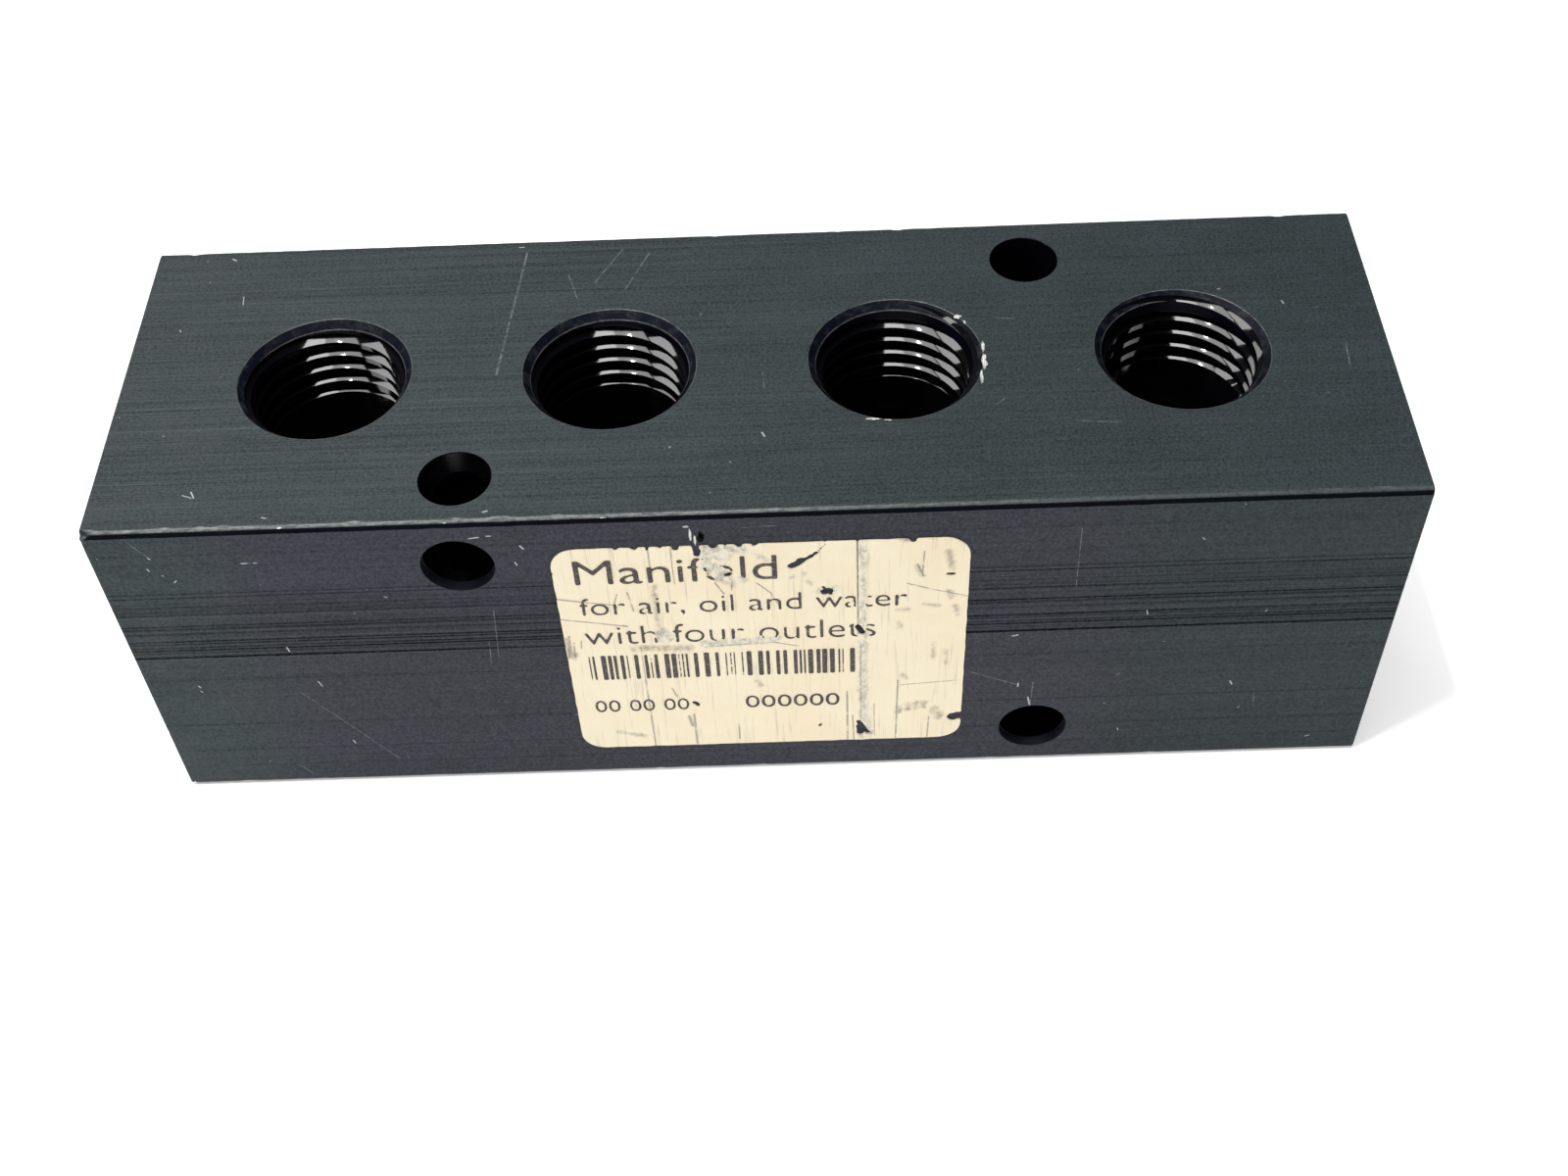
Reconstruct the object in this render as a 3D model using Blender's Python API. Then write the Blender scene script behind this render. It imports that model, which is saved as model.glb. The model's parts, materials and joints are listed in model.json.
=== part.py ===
"""Fluid manifold block with a row of tapped outlets, and its paper label.

One square aluminium bar is drilled and tapped: a gallery runs through its length with a
tapped inlet at each end, tapped outlets open on top, and plain mounting holes cross it.
Metres, +Z up. The origin is the centre of the underside, +X runs along the bar, and the
label is on the -Y face.
"""

import math

import bmesh
import bpy

INCH = 0.0254

# Bar: square stock with slightly rounded long edges, sawn to length.
BAR_SIDE = 1.25 * INCH
BAR_LENGTH = 3.875 * INCH
EDGE_RADIUS = 0.00055
EDGE_STEPS = 4

# Tapered pipe threads, 18 to the inch, cut at 60 degrees on a taper of 1 in 16 on diameter.
THREAD_PITCH = INCH / 18
THREAD_TAPER = 1 / 32
FLANK_SLOPE = math.tan(math.radians(30))
THREAD_RUNOUT_TURNS = 1.0
TURN_STEPS = 24
ROWS_PER_TURN = 3
FIRST_TURN = -2
SHORTEST_FLANK = 0.00003
DRILL_POINT_SLOPE = 1 / math.tan(math.radians(59))

# Outlets: 1/4 in pipe thread, in a row on the top face.
OUTLET_COUNT = 4
OUTLET_SPACING = 0.875 * INCH
OUTLET_ROOT_RADIUS = 0.00665
OUTLET_RIM_RADIUS = 0.0068
OUTLET_DRILL_RADIUS = 0.00575
OUTLET_THREAD_DEPTH = 0.0077
OUTLET_DRILL_DEPTH = 0.0145

# Inlets: 3/8 in pipe thread, one in each end.
INLET_ROOT_RADIUS = 0.0085
INLET_RIM_RADIUS = 0.0087
INLET_DRILL_RADIUS = 37 / 128 * INCH
INLET_THREAD_DEPTH = 0.0090
INLET_DRILL_DEPTH = 0.0120
COUNTERSINK_DEPTH = 0.0006

# Lead-in: a slow cone below each countersink that trims the first thread crests.
LEAD_IN_SLOPE = 0.5
LEAD_IN_CLEARANCE = 0.0001

GALLERY_RADIUS = INCH / 4
ROUND_STEPS = 48

# Mounting holes: each pair sits in diagonally opposite corners of the face it enters.
# Upright centres are (x, y) and level centres are (x, z), left hole first.
MOUNT_RADIUS = 0.0027
UPRIGHT_MOUNTS = ((-0.0221, -0.0114), (0.0221, 0.0111))
LEVEL_MOUNTS = ((-0.0222, 0.0270), (0.0219, 0.0047))
MOUNT_STEPS = 32

# Label: held off the bar by the gap that keeps the two solids apart.
LABEL_WIDTH = 0.0313
LABEL_HEIGHT = 0.0248
LABEL_CORNER_RADIUS = 0.002
LABEL_THICKNESS = 0.0002
LABEL_GAP = 0.0003
LABEL_CENTRE_X = 0.0003
LABEL_CENTRE_Z = BAR_SIDE / 2 + 0.0002
LABEL_CORNER_STEPS = 6

OVERSHOOT = 0.002
SHARP_ANGLE = math.radians(30)
QUARTER_TURN = math.pi / 2


def clear_scene():
    for obj in list(bpy.data.objects):
        bpy.data.objects.remove(obj)


def principled(name, colour, roughness, metallic):
    material = bpy.data.materials.new(name)
    material.use_nodes = True
    shader = material.node_tree.nodes["Principled BSDF"]
    shader.inputs["Base Color"].default_value = (*colour, 1)
    shader.inputs["Roughness"].default_value = roughness
    shader.inputs["Metallic"].default_value = metallic
    return material


def new_mesh(name, bm):
    """Turns a closed bmesh into a mesh whose faces point out."""
    bmesh.ops.recalc_face_normals(bm, faces=bm.faces)
    mesh = bpy.data.meshes.new(name)
    bm.to_mesh(mesh)
    bm.free()
    return mesh


def add_piece(name, bm, material):
    """A piece of the real object, shaded smooth except along its hard edges."""
    mesh = new_mesh(name, bm)
    mesh.materials.append(material)
    mesh.shade_smooth()
    mesh.set_sharp_from_angle(angle=SHARP_ANGLE)
    piece = bpy.data.objects.new(name, mesh)
    bpy.context.scene.collection.objects.link(piece)
    return piece


def add_cutter(cutters, name, mesh, location, rotation=(0, 0, 0)):
    """A hidden solid whose space is taken out of the bar."""
    cutter = bpy.data.objects.new(name, mesh)
    cutter.location = location
    cutter.rotation_euler = rotation
    cutter.hide_render = True
    cutter.display_type = "WIRE"
    cutters.objects.link(cutter)


def rounded_rectangle(width, height, radius, steps):
    """Corners of a rounded rectangle about (0, 0), anticlockwise."""
    points = []
    for corner in range(4):
        side_u = 1 if corner in (0, 3) else -1
        side_v = 1 if corner in (0, 1) else -1
        centre_u = side_u * (width / 2 - radius)
        centre_v = side_v * (height / 2 - radius)
        for step in range(steps + 1):
            angle = math.pi / 2 * (corner + step / steps)
            points.append((centre_u + radius * math.cos(angle), centre_v + radius * math.sin(angle)))
    return points


def extrude_outline(outline, direction):
    """A closed prism whose end face is the outline, swept along the direction."""
    bm = bmesh.new()
    face = bm.faces.new([bm.verts.new(point) for point in outline])
    swept = bmesh.ops.extrude_face_region(bm, geom=[face])["geom"]
    moved = [item for item in swept if isinstance(item, bmesh.types.BMVert)]
    bmesh.ops.translate(bm, vec=direction, verts=moved)
    return bm


def sawn_bar():
    profile = rounded_rectangle(BAR_SIDE, BAR_SIDE, EDGE_RADIUS, EDGE_STEPS)
    outline = [(-BAR_LENGTH / 2, y, BAR_SIDE / 2 + z) for y, z in profile]
    aluminium = principled("black_anodised_aluminium", (0.035, 0.038, 0.042), 0.42, 0.7)
    return add_piece("manifold_body", extrude_outline(outline, (BAR_LENGTH, 0, 0)), aluminium)


def label_plate():
    profile = rounded_rectangle(LABEL_WIDTH, LABEL_HEIGHT, LABEL_CORNER_RADIUS, LABEL_CORNER_STEPS)
    back = -BAR_SIDE / 2 - LABEL_GAP
    outline = [(LABEL_CENTRE_X + x, back, LABEL_CENTRE_Z + z) for x, z in profile]
    paper = principled("aged_paper", (0.82, 0.68, 0.45), 0.55, 0.0)
    return add_piece("label", extrude_outline(outline, (0, -LABEL_THICKNESS, 0)), paper)


def round_mesh(name, start_radius, end_radius, start_z, end_z, steps):
    """A cylinder or cone about local Z, between two heights."""
    bm = bmesh.new()
    bmesh.ops.create_cone(
        bm,
        cap_ends=True,
        segments=steps,
        radius1=start_radius,
        radius2=end_radius,
        depth=end_z - start_z,
    )
    bmesh.ops.translate(bm, vec=(0, 0, (start_z + end_z) / 2), verts=bm.verts)
    return new_mesh(name, bm)


def countersink_mesh(name, rim_radius, drill_radius):
    """A 90 degree cone about local Z whose circle at z = 0 is the rim, above the lead-in cone."""
    waist = rim_radius - COUNTERSINK_DEPTH
    tip = drill_radius - LEAD_IN_CLEARANCE
    depth = COUNTERSINK_DEPTH + (waist - tip) / LEAD_IN_SLOPE
    profile = (
        (tip, -depth),
        (waist, -COUNTERSINK_DEPTH),
        (rim_radius + OVERSHOOT, OVERSHOOT),
    )
    bm = bmesh.new()
    rings = []
    for radius, z in profile:
        angles = [2 * math.pi * step / ROUND_STEPS for step in range(ROUND_STEPS)]
        rings.append([bm.verts.new((radius * math.cos(a), radius * math.sin(a), z)) for a in angles])
    for lower, upper in zip(rings, rings[1:]):
        for step in range(ROUND_STEPS):
            after = (step + 1) % ROUND_STEPS
            bm.faces.new((lower[step], lower[after], upper[after], upper[step]))
    bm.faces.new(reversed(rings[0]))
    bm.faces.new(rings[-1])
    return new_mesh(name, bm)


def thread_profile(turn, root_radius, drill_radius, thread_depth):
    """(radius, depth) of the groove's bottom and of both edges of the crest after it, at a turn count.

    The groove follows the taper, and over its last turns it fades into the drilled bore.
    """

    def groove(at_turn):
        depth = THREAD_PITCH * at_turn
        fade = (thread_depth - depth) / (THREAD_PITCH * THREAD_RUNOUT_TURNS)
        full_height = root_radius - THREAD_TAPER * max(depth, 0) - drill_radius
        height = full_height * min(max(fade, 0), 1)
        return depth, height, max(height * FLANK_SLOPE, SHORTEST_FLANK)

    depth, height, flank = groove(turn)
    next_depth, _, next_flank = groove(turn + 1)
    crest_start = depth + flank
    crest_end = max(next_depth - next_flank, crest_start + SHORTEST_FLANK)
    return (drill_radius + height, depth), (drill_radius, crest_start), (drill_radius, crest_end)


def screw_columns(bm, last_row, root_radius, drill_radius, thread_depth):
    """One column of points for each step of a right-hand turn, running down from above the mouth."""
    columns = []
    for step in range(TURN_STEPS):
        part_turn = step / TURN_STEPS
        angle = -2 * math.pi * part_turn
        column = []
        for row in range(last_row + 1):
            turn = FIRST_TURN + row // ROWS_PER_TURN + part_turn
            profile = thread_profile(turn, root_radius, drill_radius, thread_depth)
            radius, depth = profile[row % ROWS_PER_TURN]
            x, y = radius * math.cos(angle), radius * math.sin(angle)
            column.append(bm.verts.new((x, y, -depth)))
        columns.append(column)
    return columns


def tapped_hole_mesh(name, root_radius, drill_radius, thread_depth, drill_depth):
    """The space of a tapped hole about local Z, its mouth at z = 0.

    A screw surface starts above the mouth, runs into the drilled bore, and ends in the
    drill's point. Each row of the last column joins the row one turn further down the first.
    """
    last_row = (math.ceil(thread_depth / THREAD_PITCH) - FIRST_TURN) * ROWS_PER_TURN
    bm = bmesh.new()
    columns = screw_columns(bm, last_row, root_radius, drill_radius, thread_depth)
    first, final = columns[0], columns[-1]
    for here, beside in zip(columns, columns[1:]):
        for row in range(last_row):
            bm.faces.new((here[row], beside[row], beside[row + 1], here[row + 1]))
    for row in range(last_row - ROWS_PER_TURN):
        below = row + ROWS_PER_TURN
        bm.faces.new((final[row], first[below], first[below + 1], final[row + 1]))

    mouth = bm.verts.new((0, 0, -THREAD_PITCH * (FIRST_TURN + 0.5)))
    mouth_loop = [column[0] for column in columns] + first[ROWS_PER_TURN::-1]
    for here, beside in zip(mouth_loop, mouth_loop[1:]):
        bm.faces.new((mouth, here, beside))

    bore = []
    for step in range(TURN_STEPS):
        angle = -2 * math.pi * step / TURN_STEPS
        x, y = drill_radius * math.cos(angle), drill_radius * math.sin(angle)
        bore.append(bm.verts.new((x, y, -drill_depth)))
    for step in range(TURN_STEPS - 1):
        here, beside = columns[step][-1], columns[step + 1][-1]
        bm.faces.new((here, beside, bore[step + 1], bore[step]))
    seam = [first[-1]] + final[last_row - ROWS_PER_TURN :] + [bore[-1]]
    for here, beside in zip(seam, seam[1:]):
        bm.faces.new((bore[0], here, beside))

    tip = bm.verts.new((0, 0, -drill_depth - drill_radius * DRILL_POINT_SLOPE))
    for here, beside in zip(bore, bore[1:] + bore[:1]):
        bm.faces.new((tip, here, beside))
    bmesh.ops.triangulate(bm, faces=bm.faces)
    return new_mesh(name, bm)


def add_outlets(cutters):
    hole = tapped_hole_mesh(
        "outlet_hole",
        OUTLET_ROOT_RADIUS,
        OUTLET_DRILL_RADIUS,
        OUTLET_THREAD_DEPTH,
        OUTLET_DRILL_DEPTH,
    )
    rim = countersink_mesh("outlet_rim", OUTLET_RIM_RADIUS, OUTLET_DRILL_RADIUS)
    for index in range(OUTLET_COUNT):
        location = ((index - (OUTLET_COUNT - 1) / 2) * OUTLET_SPACING, 0, BAR_SIDE)
        add_cutter(cutters, f"outlet_{index + 1}_hole_cutter", hole, location)
        add_cutter(cutters, f"outlet_{index + 1}_rim_cutter", rim, location)


def add_inlets(cutters):
    hole = tapped_hole_mesh(
        "inlet_hole",
        INLET_ROOT_RADIUS,
        INLET_DRILL_RADIUS,
        INLET_THREAD_DEPTH,
        INLET_DRILL_DEPTH,
    )
    rim = countersink_mesh("inlet_rim", INLET_RIM_RADIUS, INLET_DRILL_RADIUS)
    for side, name in ((-1, "left"), (1, "right")):
        location = (side * BAR_LENGTH / 2, 0, BAR_SIDE / 2)
        outwards = (0, side * QUARTER_TURN, 0)
        add_cutter(cutters, f"inlet_{name}_hole_cutter", hole, location, outwards)
        add_cutter(cutters, f"inlet_{name}_rim_cutter", rim, location, outwards)


def add_mounting_holes(cutters):
    """Two upright holes and two level ones, each starting on the face that it enters."""
    radius, end = MOUNT_RADIUS, BAR_SIDE + OVERSHOOT
    hole = round_mesh("mounting_hole", radius, radius, -OVERSHOOT, end, MOUNT_STEPS)
    for name, (x, y) in zip(("left", "right"), UPRIGHT_MOUNTS):
        add_cutter(cutters, f"upright_hole_{name}_cutter", hole, (x, y, 0))
    for name, (x, z) in zip(("left", "right"), LEVEL_MOUNTS):
        start = (x, -BAR_SIDE / 2, z)
        add_cutter(cutters, f"level_hole_{name}_cutter", hole, start, (-QUARTER_TURN, 0, 0))


def add_gallery(cutters):
    radius, end = GALLERY_RADIUS, BAR_LENGTH + OVERSHOOT
    bore = round_mesh("gallery", radius, radius, -OVERSHOOT, end, ROUND_STEPS)
    start = (-BAR_LENGTH / 2, 0, BAR_SIDE / 2)
    add_cutter(cutters, "gallery_cutter", bore, start, (0, QUARTER_TURN, 0))


def machine(body):
    """Takes all the drilled and tapped spaces out of the bar in one cut."""
    cutters = bpy.data.collections.new("cutters")
    bpy.context.scene.collection.children.link(cutters)
    add_gallery(cutters)
    add_inlets(cutters)
    add_outlets(cutters)
    add_mounting_holes(cutters)
    cut = body.modifiers.new("machining", "BOOLEAN")
    cut.operation = "DIFFERENCE"
    cut.solver = "EXACT"
    cut.operand_type = "COLLECTION"
    cut.collection = cutters


clear_scene()
machine(sawn_bar())
label_plate()
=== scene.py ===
"""Looks of the fluid manifold block: a finely machined, anodised bar and its worn paper label."""

import json
import math
import random

import bmesh
import bpy
import numpy as np
from mathutils import Matrix, Vector, noise

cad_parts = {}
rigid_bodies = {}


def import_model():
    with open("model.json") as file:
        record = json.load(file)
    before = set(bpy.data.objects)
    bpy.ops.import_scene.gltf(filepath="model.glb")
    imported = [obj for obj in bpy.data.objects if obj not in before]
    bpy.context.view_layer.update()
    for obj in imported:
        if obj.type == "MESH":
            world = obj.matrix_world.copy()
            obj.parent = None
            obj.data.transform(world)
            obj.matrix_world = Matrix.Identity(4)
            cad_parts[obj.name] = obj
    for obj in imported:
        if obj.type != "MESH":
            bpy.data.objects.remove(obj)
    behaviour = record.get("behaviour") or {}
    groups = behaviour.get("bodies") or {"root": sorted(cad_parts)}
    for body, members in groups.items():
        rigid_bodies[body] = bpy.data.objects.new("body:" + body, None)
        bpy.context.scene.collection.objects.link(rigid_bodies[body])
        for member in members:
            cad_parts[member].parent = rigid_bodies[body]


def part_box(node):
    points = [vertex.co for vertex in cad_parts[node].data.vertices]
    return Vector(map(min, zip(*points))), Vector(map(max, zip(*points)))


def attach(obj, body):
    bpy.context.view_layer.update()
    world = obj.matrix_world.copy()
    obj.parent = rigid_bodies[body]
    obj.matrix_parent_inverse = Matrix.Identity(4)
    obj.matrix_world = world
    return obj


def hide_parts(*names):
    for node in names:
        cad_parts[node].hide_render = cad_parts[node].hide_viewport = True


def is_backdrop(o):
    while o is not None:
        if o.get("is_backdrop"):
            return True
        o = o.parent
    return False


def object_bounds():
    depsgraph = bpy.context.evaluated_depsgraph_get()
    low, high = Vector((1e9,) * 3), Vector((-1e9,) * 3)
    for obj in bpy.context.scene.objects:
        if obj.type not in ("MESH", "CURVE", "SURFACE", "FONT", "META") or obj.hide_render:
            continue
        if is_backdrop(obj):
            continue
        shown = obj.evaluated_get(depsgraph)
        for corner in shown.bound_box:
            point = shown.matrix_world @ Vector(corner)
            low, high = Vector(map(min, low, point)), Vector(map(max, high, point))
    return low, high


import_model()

MM = 0.001
INCH = 25.4 * MM
CAD_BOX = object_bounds()
BAR_LOW, BAR_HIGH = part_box("manifold_body")
LABEL_LOW, LABEL_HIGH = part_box("label")
BAR_LENGTH = BAR_HIGH.x - BAR_LOW.x
BAR_SIDE = BAR_HIGH.z - BAR_LOW.z
HALF = BAR_SIDE / 2
QUARTER_TURN = math.pi / 2

# Bar stock
EDGE_RADIUS = 0.55 * MM
EDGE_STEPS = 8
EDGE_WAVE = 0.03 * MM
NICK_COUNTS = (6, 26, 6, 6)  # On the back top, front top, front bottom and back bottom edges
RING_SPACING = 0.3 * MM
END_EDGE_BREAK = 0.10 * MM

# Pipe threads: 60 degree flanks, 18 turns to the inch, tapering 1 in 16 on diameter
PITCH = INCH / 18
TAPER = 1 / 32
FLANK = math.tan(math.radians(30))
RUNOUT_TURNS = 1.0
TURN_STEPS = 72
ROWS = 7
FIRST_TURN = -2
ROOT_FLAT = 0.05 * MM
CREST_ROUND = 0.05 * MM
CREST_BREAK = 0.008 * MM
LEAST_SHOULDER = 0.01 * MM
LEAST_HALF_CREST = 0.02 * MM
LEAST_HALF_GROOVE = 0.06 * MM
STEP_PHASE = 0.37  # Turned rings start this share of a step late, clear of the bar's planes
DRILL_POINT = 1 / math.tan(math.radians(59))
OVERSHOOT = 2 * MM

OUTLET_SPACING = 0.875 * INCH
OUTLETS = 4
OUTLET = {"root": 6.65 * MM, "drill": 5.75 * MM, "thread": 7.7 * MM, "depth": 14.5 * MM}
OUTLET_RIM = 6.8 * MM
THREAD_START_STEP = 1.1  # Angle from one outlet's thread start to the next one's
SHEEN_HEIGHT = 1.0  # Millimetres above the end of the thread down to which it stays glossy
INLET = {"root": 8.5 * MM, "drill": INCH * 37 / 128, "thread": 9.0 * MM, "depth": 12.0 * MM}
INLET_RIM = 8.7 * MM
COUNTERSINK = 0.6 * MM
RIM_BREAK = 0.035 * MM
RIM_BREAK_SLOPE = 1.4
WAIST_BREAK = 0.012 * MM
WAIST_SLOPE = 0.72
WAIST_REACH = 7 * WAIST_BREAK
LEAD_IN_SLOPE = 0.5
LEAD_IN_CLEARANCE = 0.1 * MM
GALLERY_RADIUS = INCH / 4
MOUNT_RADIUS = 2.7 * MM
MOUNT_BREAK = 0.06 * MM
MOUNT_STEPS = 64
MOUTH_RADIUS = 2.78 * MM
MOUTH_DEPTH = 0.85 * MM
UPRIGHT_MOUNTS = ((-22.1, -11.4), (22.1, 11.1))
LEVEL_MOUNTS = ((-22.2, 27.0), (21.9, 4.7))
ROUND_STEPS = 96
SHARP_ANGLE = math.radians(32)
FLAT_FACE = 0.99999  # A face whose normal lies this close to an axis is one of the bar's flats

# Label film on the front face
FILM = 0.12 * MM
FILM_GAP = 0.004 * MM
LABEL_WIDTH = LABEL_HIGH.x - LABEL_LOW.x
LABEL_HEIGHT = LABEL_HIGH.z - LABEL_LOW.z
LABEL_CENTRE = (LABEL_LOW + LABEL_HIGH) / 2
LABEL_CORNER = 2.0 * MM

# Camera, in the frame's own axes
CAMERA_PLACE = Vector((4.10, -110.67, 134.29)) * MM
CAMERA_FORWARD = Vector((-0.0147, 0.6493, -0.7604))
CAMERA_RIGHT = Vector((0.9993, -0.0156, -0.0327))
CAMERA_LENS = 44.32

# Studio light: radiances, and the glow of the floor and the surroundings
PANEL_RADIANCE = 10.5
WING_RADIANCE = 5.0
LEFT_RADIANCE = 6.0
BACK_RADIANCE = 4.0
FLOOR_GLOW = 0.38
FLOOR_HALF = 2.5
LAMP_RADIANCE = 900
FRONT_RADIANCE = 1.25
HORIZON_GLOW = 0.40
OVERHEAD_GLOW = 0.10
SIDE_GLOW = 1.0
BACKDROP_GLOW = 11


# ---------------------------------------------------------------- node graphs


class Graph:
    """The node tree of a material or a world, with short ways to add and join its nodes."""

    def __init__(self, owner, place):
        owner.use_nodes = True
        self.tree = owner.node_tree
        self.place = self.add("ShaderNodeTexCoord").outputs[place]

    def add(self, kind, **settings):
        node = self.tree.nodes.new(kind)
        for key, value in settings.items():
            setattr(node, key, value)
        return node

    def feed(self, socket, value):
        if isinstance(value, bpy.types.NodeSocket):
            self.tree.links.new(value, socket)
        else:
            socket.default_value = value

    def math(self, operation, *values, clamp=False):
        node = self.add("ShaderNodeMath", operation=operation, use_clamp=clamp)
        for socket, value in zip(node.inputs, values):
            self.feed(socket, value)
        return node.outputs[0]

    def times(self, first, second):
        return self.math("MULTIPLY", first, second)

    def plus(self, first, second):
        return self.math("ADD", first, second)

    def minus(self, first, second):
        return self.math("SUBTRACT", first, second)

    def vector(self, operation, *values, output=0):
        node = self.add("ShaderNodeVectorMath", operation=operation)
        for socket, value in zip(node.inputs, values):
            self.feed(socket, value)
        return node.outputs[output]

    def stretched(self, per_mm, offset=(0, 0, 0)):
        """The place on the object in millimetres, stretched by a scale for each axis."""
        scaled = self.vector("MULTIPLY", self.place, tuple(value / MM for value in per_mm))
        return self.vector("ADD", scaled, offset)

    def noise(self, per_mm, detail=2.0, roughness=0.5, offset=(0, 0, 0)):
        node = self.add("ShaderNodeTexNoise")
        self.feed(node.inputs["Vector"], self.stretched(per_mm, offset))
        node.inputs["Scale"].default_value = 1
        node.inputs["Detail"].default_value = detail
        node.inputs["Roughness"].default_value = roughness
        return node.outputs["Fac"]

    def band(self, value, start, end, low=0.0, high=1.0, smooth=True):
        """Runs from low to high while value goes from start to end, and stays flat beyond."""
        kind = "SMOOTHSTEP" if smooth else "LINEAR"
        node = self.add("ShaderNodeMapRange", interpolation_type=kind)
        for socket, given in zip(node.inputs, (value, start, end, low, high)):
            self.feed(socket, given)
        return node.outputs[0]

    def uneven(self, *parts):
        """1 plus each noise's swing about its middle, times its share."""
        total = 1.0
        for part, share in parts:
            total = self.plus(total, self.times(self.minus(part, 0.5), share))
        return total

    def mix(self, amount, first, second):
        node = self.add("ShaderNodeMix", data_type="RGBA")
        self.feed(node.inputs[0], amount)
        for socket, colour in ((node.inputs[6], first), (node.inputs[7], second)):
            self.feed(socket, colour if isinstance(colour, bpy.types.NodeSocket) else (*colour, 1))
        return node.outputs[2]

    def axis(self, index):
        """One coordinate of the place on the object, in millimetres."""
        parts = self.add("ShaderNodeSeparateXYZ")
        self.feed(parts.inputs[0], self.place)
        return self.times(parts.outputs[index], 1 / MM)

    def facing(self, direction):
        """Cosine between the surface's normal and a direction."""
        normal = self.add("ShaderNodeNewGeometry").outputs["Normal"]
        return self.vector("DOT_PRODUCT", normal, tuple(Vector(direction).normalized()), output=1)

    def bump(self, height, depth_mm, previous=None):
        node = self.add("ShaderNodeBump")
        node.inputs["Strength"].default_value = 1
        node.inputs["Distance"].default_value = depth_mm * MM
        self.feed(node.inputs["Height"], height)
        if previous is not None:
            self.feed(node.inputs["Normal"], previous)
        return node.outputs[0]

    def line_mask(self, start, end, width):
        """1 on the straight line between two points in millimetres, falling to 0 at its width."""
        start, end = Vector(start) * MM, Vector(end) * MM
        along = end - start
        offset = self.vector("SUBTRACT", self.place, tuple(start))
        share = self.vector("DOT_PRODUCT", offset, tuple(along / along.length_squared), output=1)
        share = self.math("MAXIMUM", self.math("MINIMUM", share, 1.0), 0.0)
        nearest = self.vector("SCALE", tuple(along))
        self.feed(nearest.node.inputs["Scale"], share)
        gap = self.vector("LENGTH", self.vector("SUBTRACT", offset, nearest), output=1)
        return self.band(gap, width * MM, width * MM * 0.35)

    def parallel_lines(self, value, lines):
        """The strongest of several (place, half width, strength) lines at a value."""
        masks = []
        for place, width, strength in lines:
            gap = self.math("ABSOLUTE", self.minus(value, place))
            masks.append(self.band(gap, width * 1.3, width * 0.4, 0.0, strength))
        return self.any_of(masks)

    def any_of(self, masks):
        """The strongest of several masks."""
        total = masks[0]
        for mask in masks[1:]:
            total = self.math("MAXIMUM", total, mask)
        return total


class Finish(Graph):
    """A material's node tree."""

    def __init__(self, name):
        self.material = bpy.data.materials.new(name)
        super().__init__(self.material, "Object")
        self.shader = self.tree.nodes["Principled BSDF"]

    def finish(self, colour, roughness, metallic, normal=None, specular=0.5):
        """Feeds the shader and returns the material."""
        pairs = (("Base Color", colour), ("Roughness", roughness), ("Metallic", metallic))
        for name, value in pairs:
            if isinstance(value, tuple):
                value = (*value, 1)
            self.feed(self.shader.inputs[name], value)
        self.feed(self.shader.inputs["Specular IOR Level"], specular)
        if normal is not None:
            self.feed(self.shader.inputs["Normal"], normal)
        return self.material


# ---------------------------------------------------------------- metal finishes

BARE = (0.80, 0.80, 0.78)

# Heights of dark drawing lines on the front face, with half widths and strengths.
DIE_LINES = (
    (24.85, 0.11, 0.40), (24.40, 0.09, 0.50), (23.30, 0.09, 0.35), (22.75, 0.08, 0.40),
    (22.40, 0.12, 0.45), (21.05, 0.10, 0.65), (20.70, 0.12, 0.50), (20.10, 0.08, 0.40),
    (19.20, 0.11, 0.65), (18.90, 0.08, 0.50), (18.45, 0.12, 0.50), (18.15, 0.09, 0.70),
    (17.80, 0.08, 0.30), (17.25, 0.15, 0.70), (14.30, 0.12, 0.20), (8.40, 0.09, 0.30),
    (4.90, 0.11, 0.25), (29.20, 0.12, 0.15), (2.60, 0.12, 0.15),
)
PALE_LINES = (
    (24.62, 0.07, 0.25), (22.08, 0.08, 0.25), (20.40, 0.07, 0.35), (19.50, 0.08, 0.40),
    (18.66, 0.06, 0.35), (17.02, 0.10, 0.30), (15.60, 0.10, 0.12), (12.10, 0.10, 0.12),
)
# Pale rubbed lines on the top face, by their distance behind the bar's middle.
RUBBED_LINES = (
    (-2.95, 0.10, 1.3), (-3.35, 0.07, 0.8), (-3.75, 0.06, 0.9), (-5.35, 0.09, 0.9),
    (-7.00, 0.06, 0.6), (-8.85, 0.07, 0.5), (-10.90, 0.08, 0.8), (-12.60, 0.07, 0.8),
    (-13.40, 0.06, 0.6), (3.20, 0.07, 0.4), (9.10, 0.08, 0.5), (12.30, 0.07, 0.4),
    (-1.90, 0.06, 0.5), (1.10, 0.06, 0.4),
)

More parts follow.
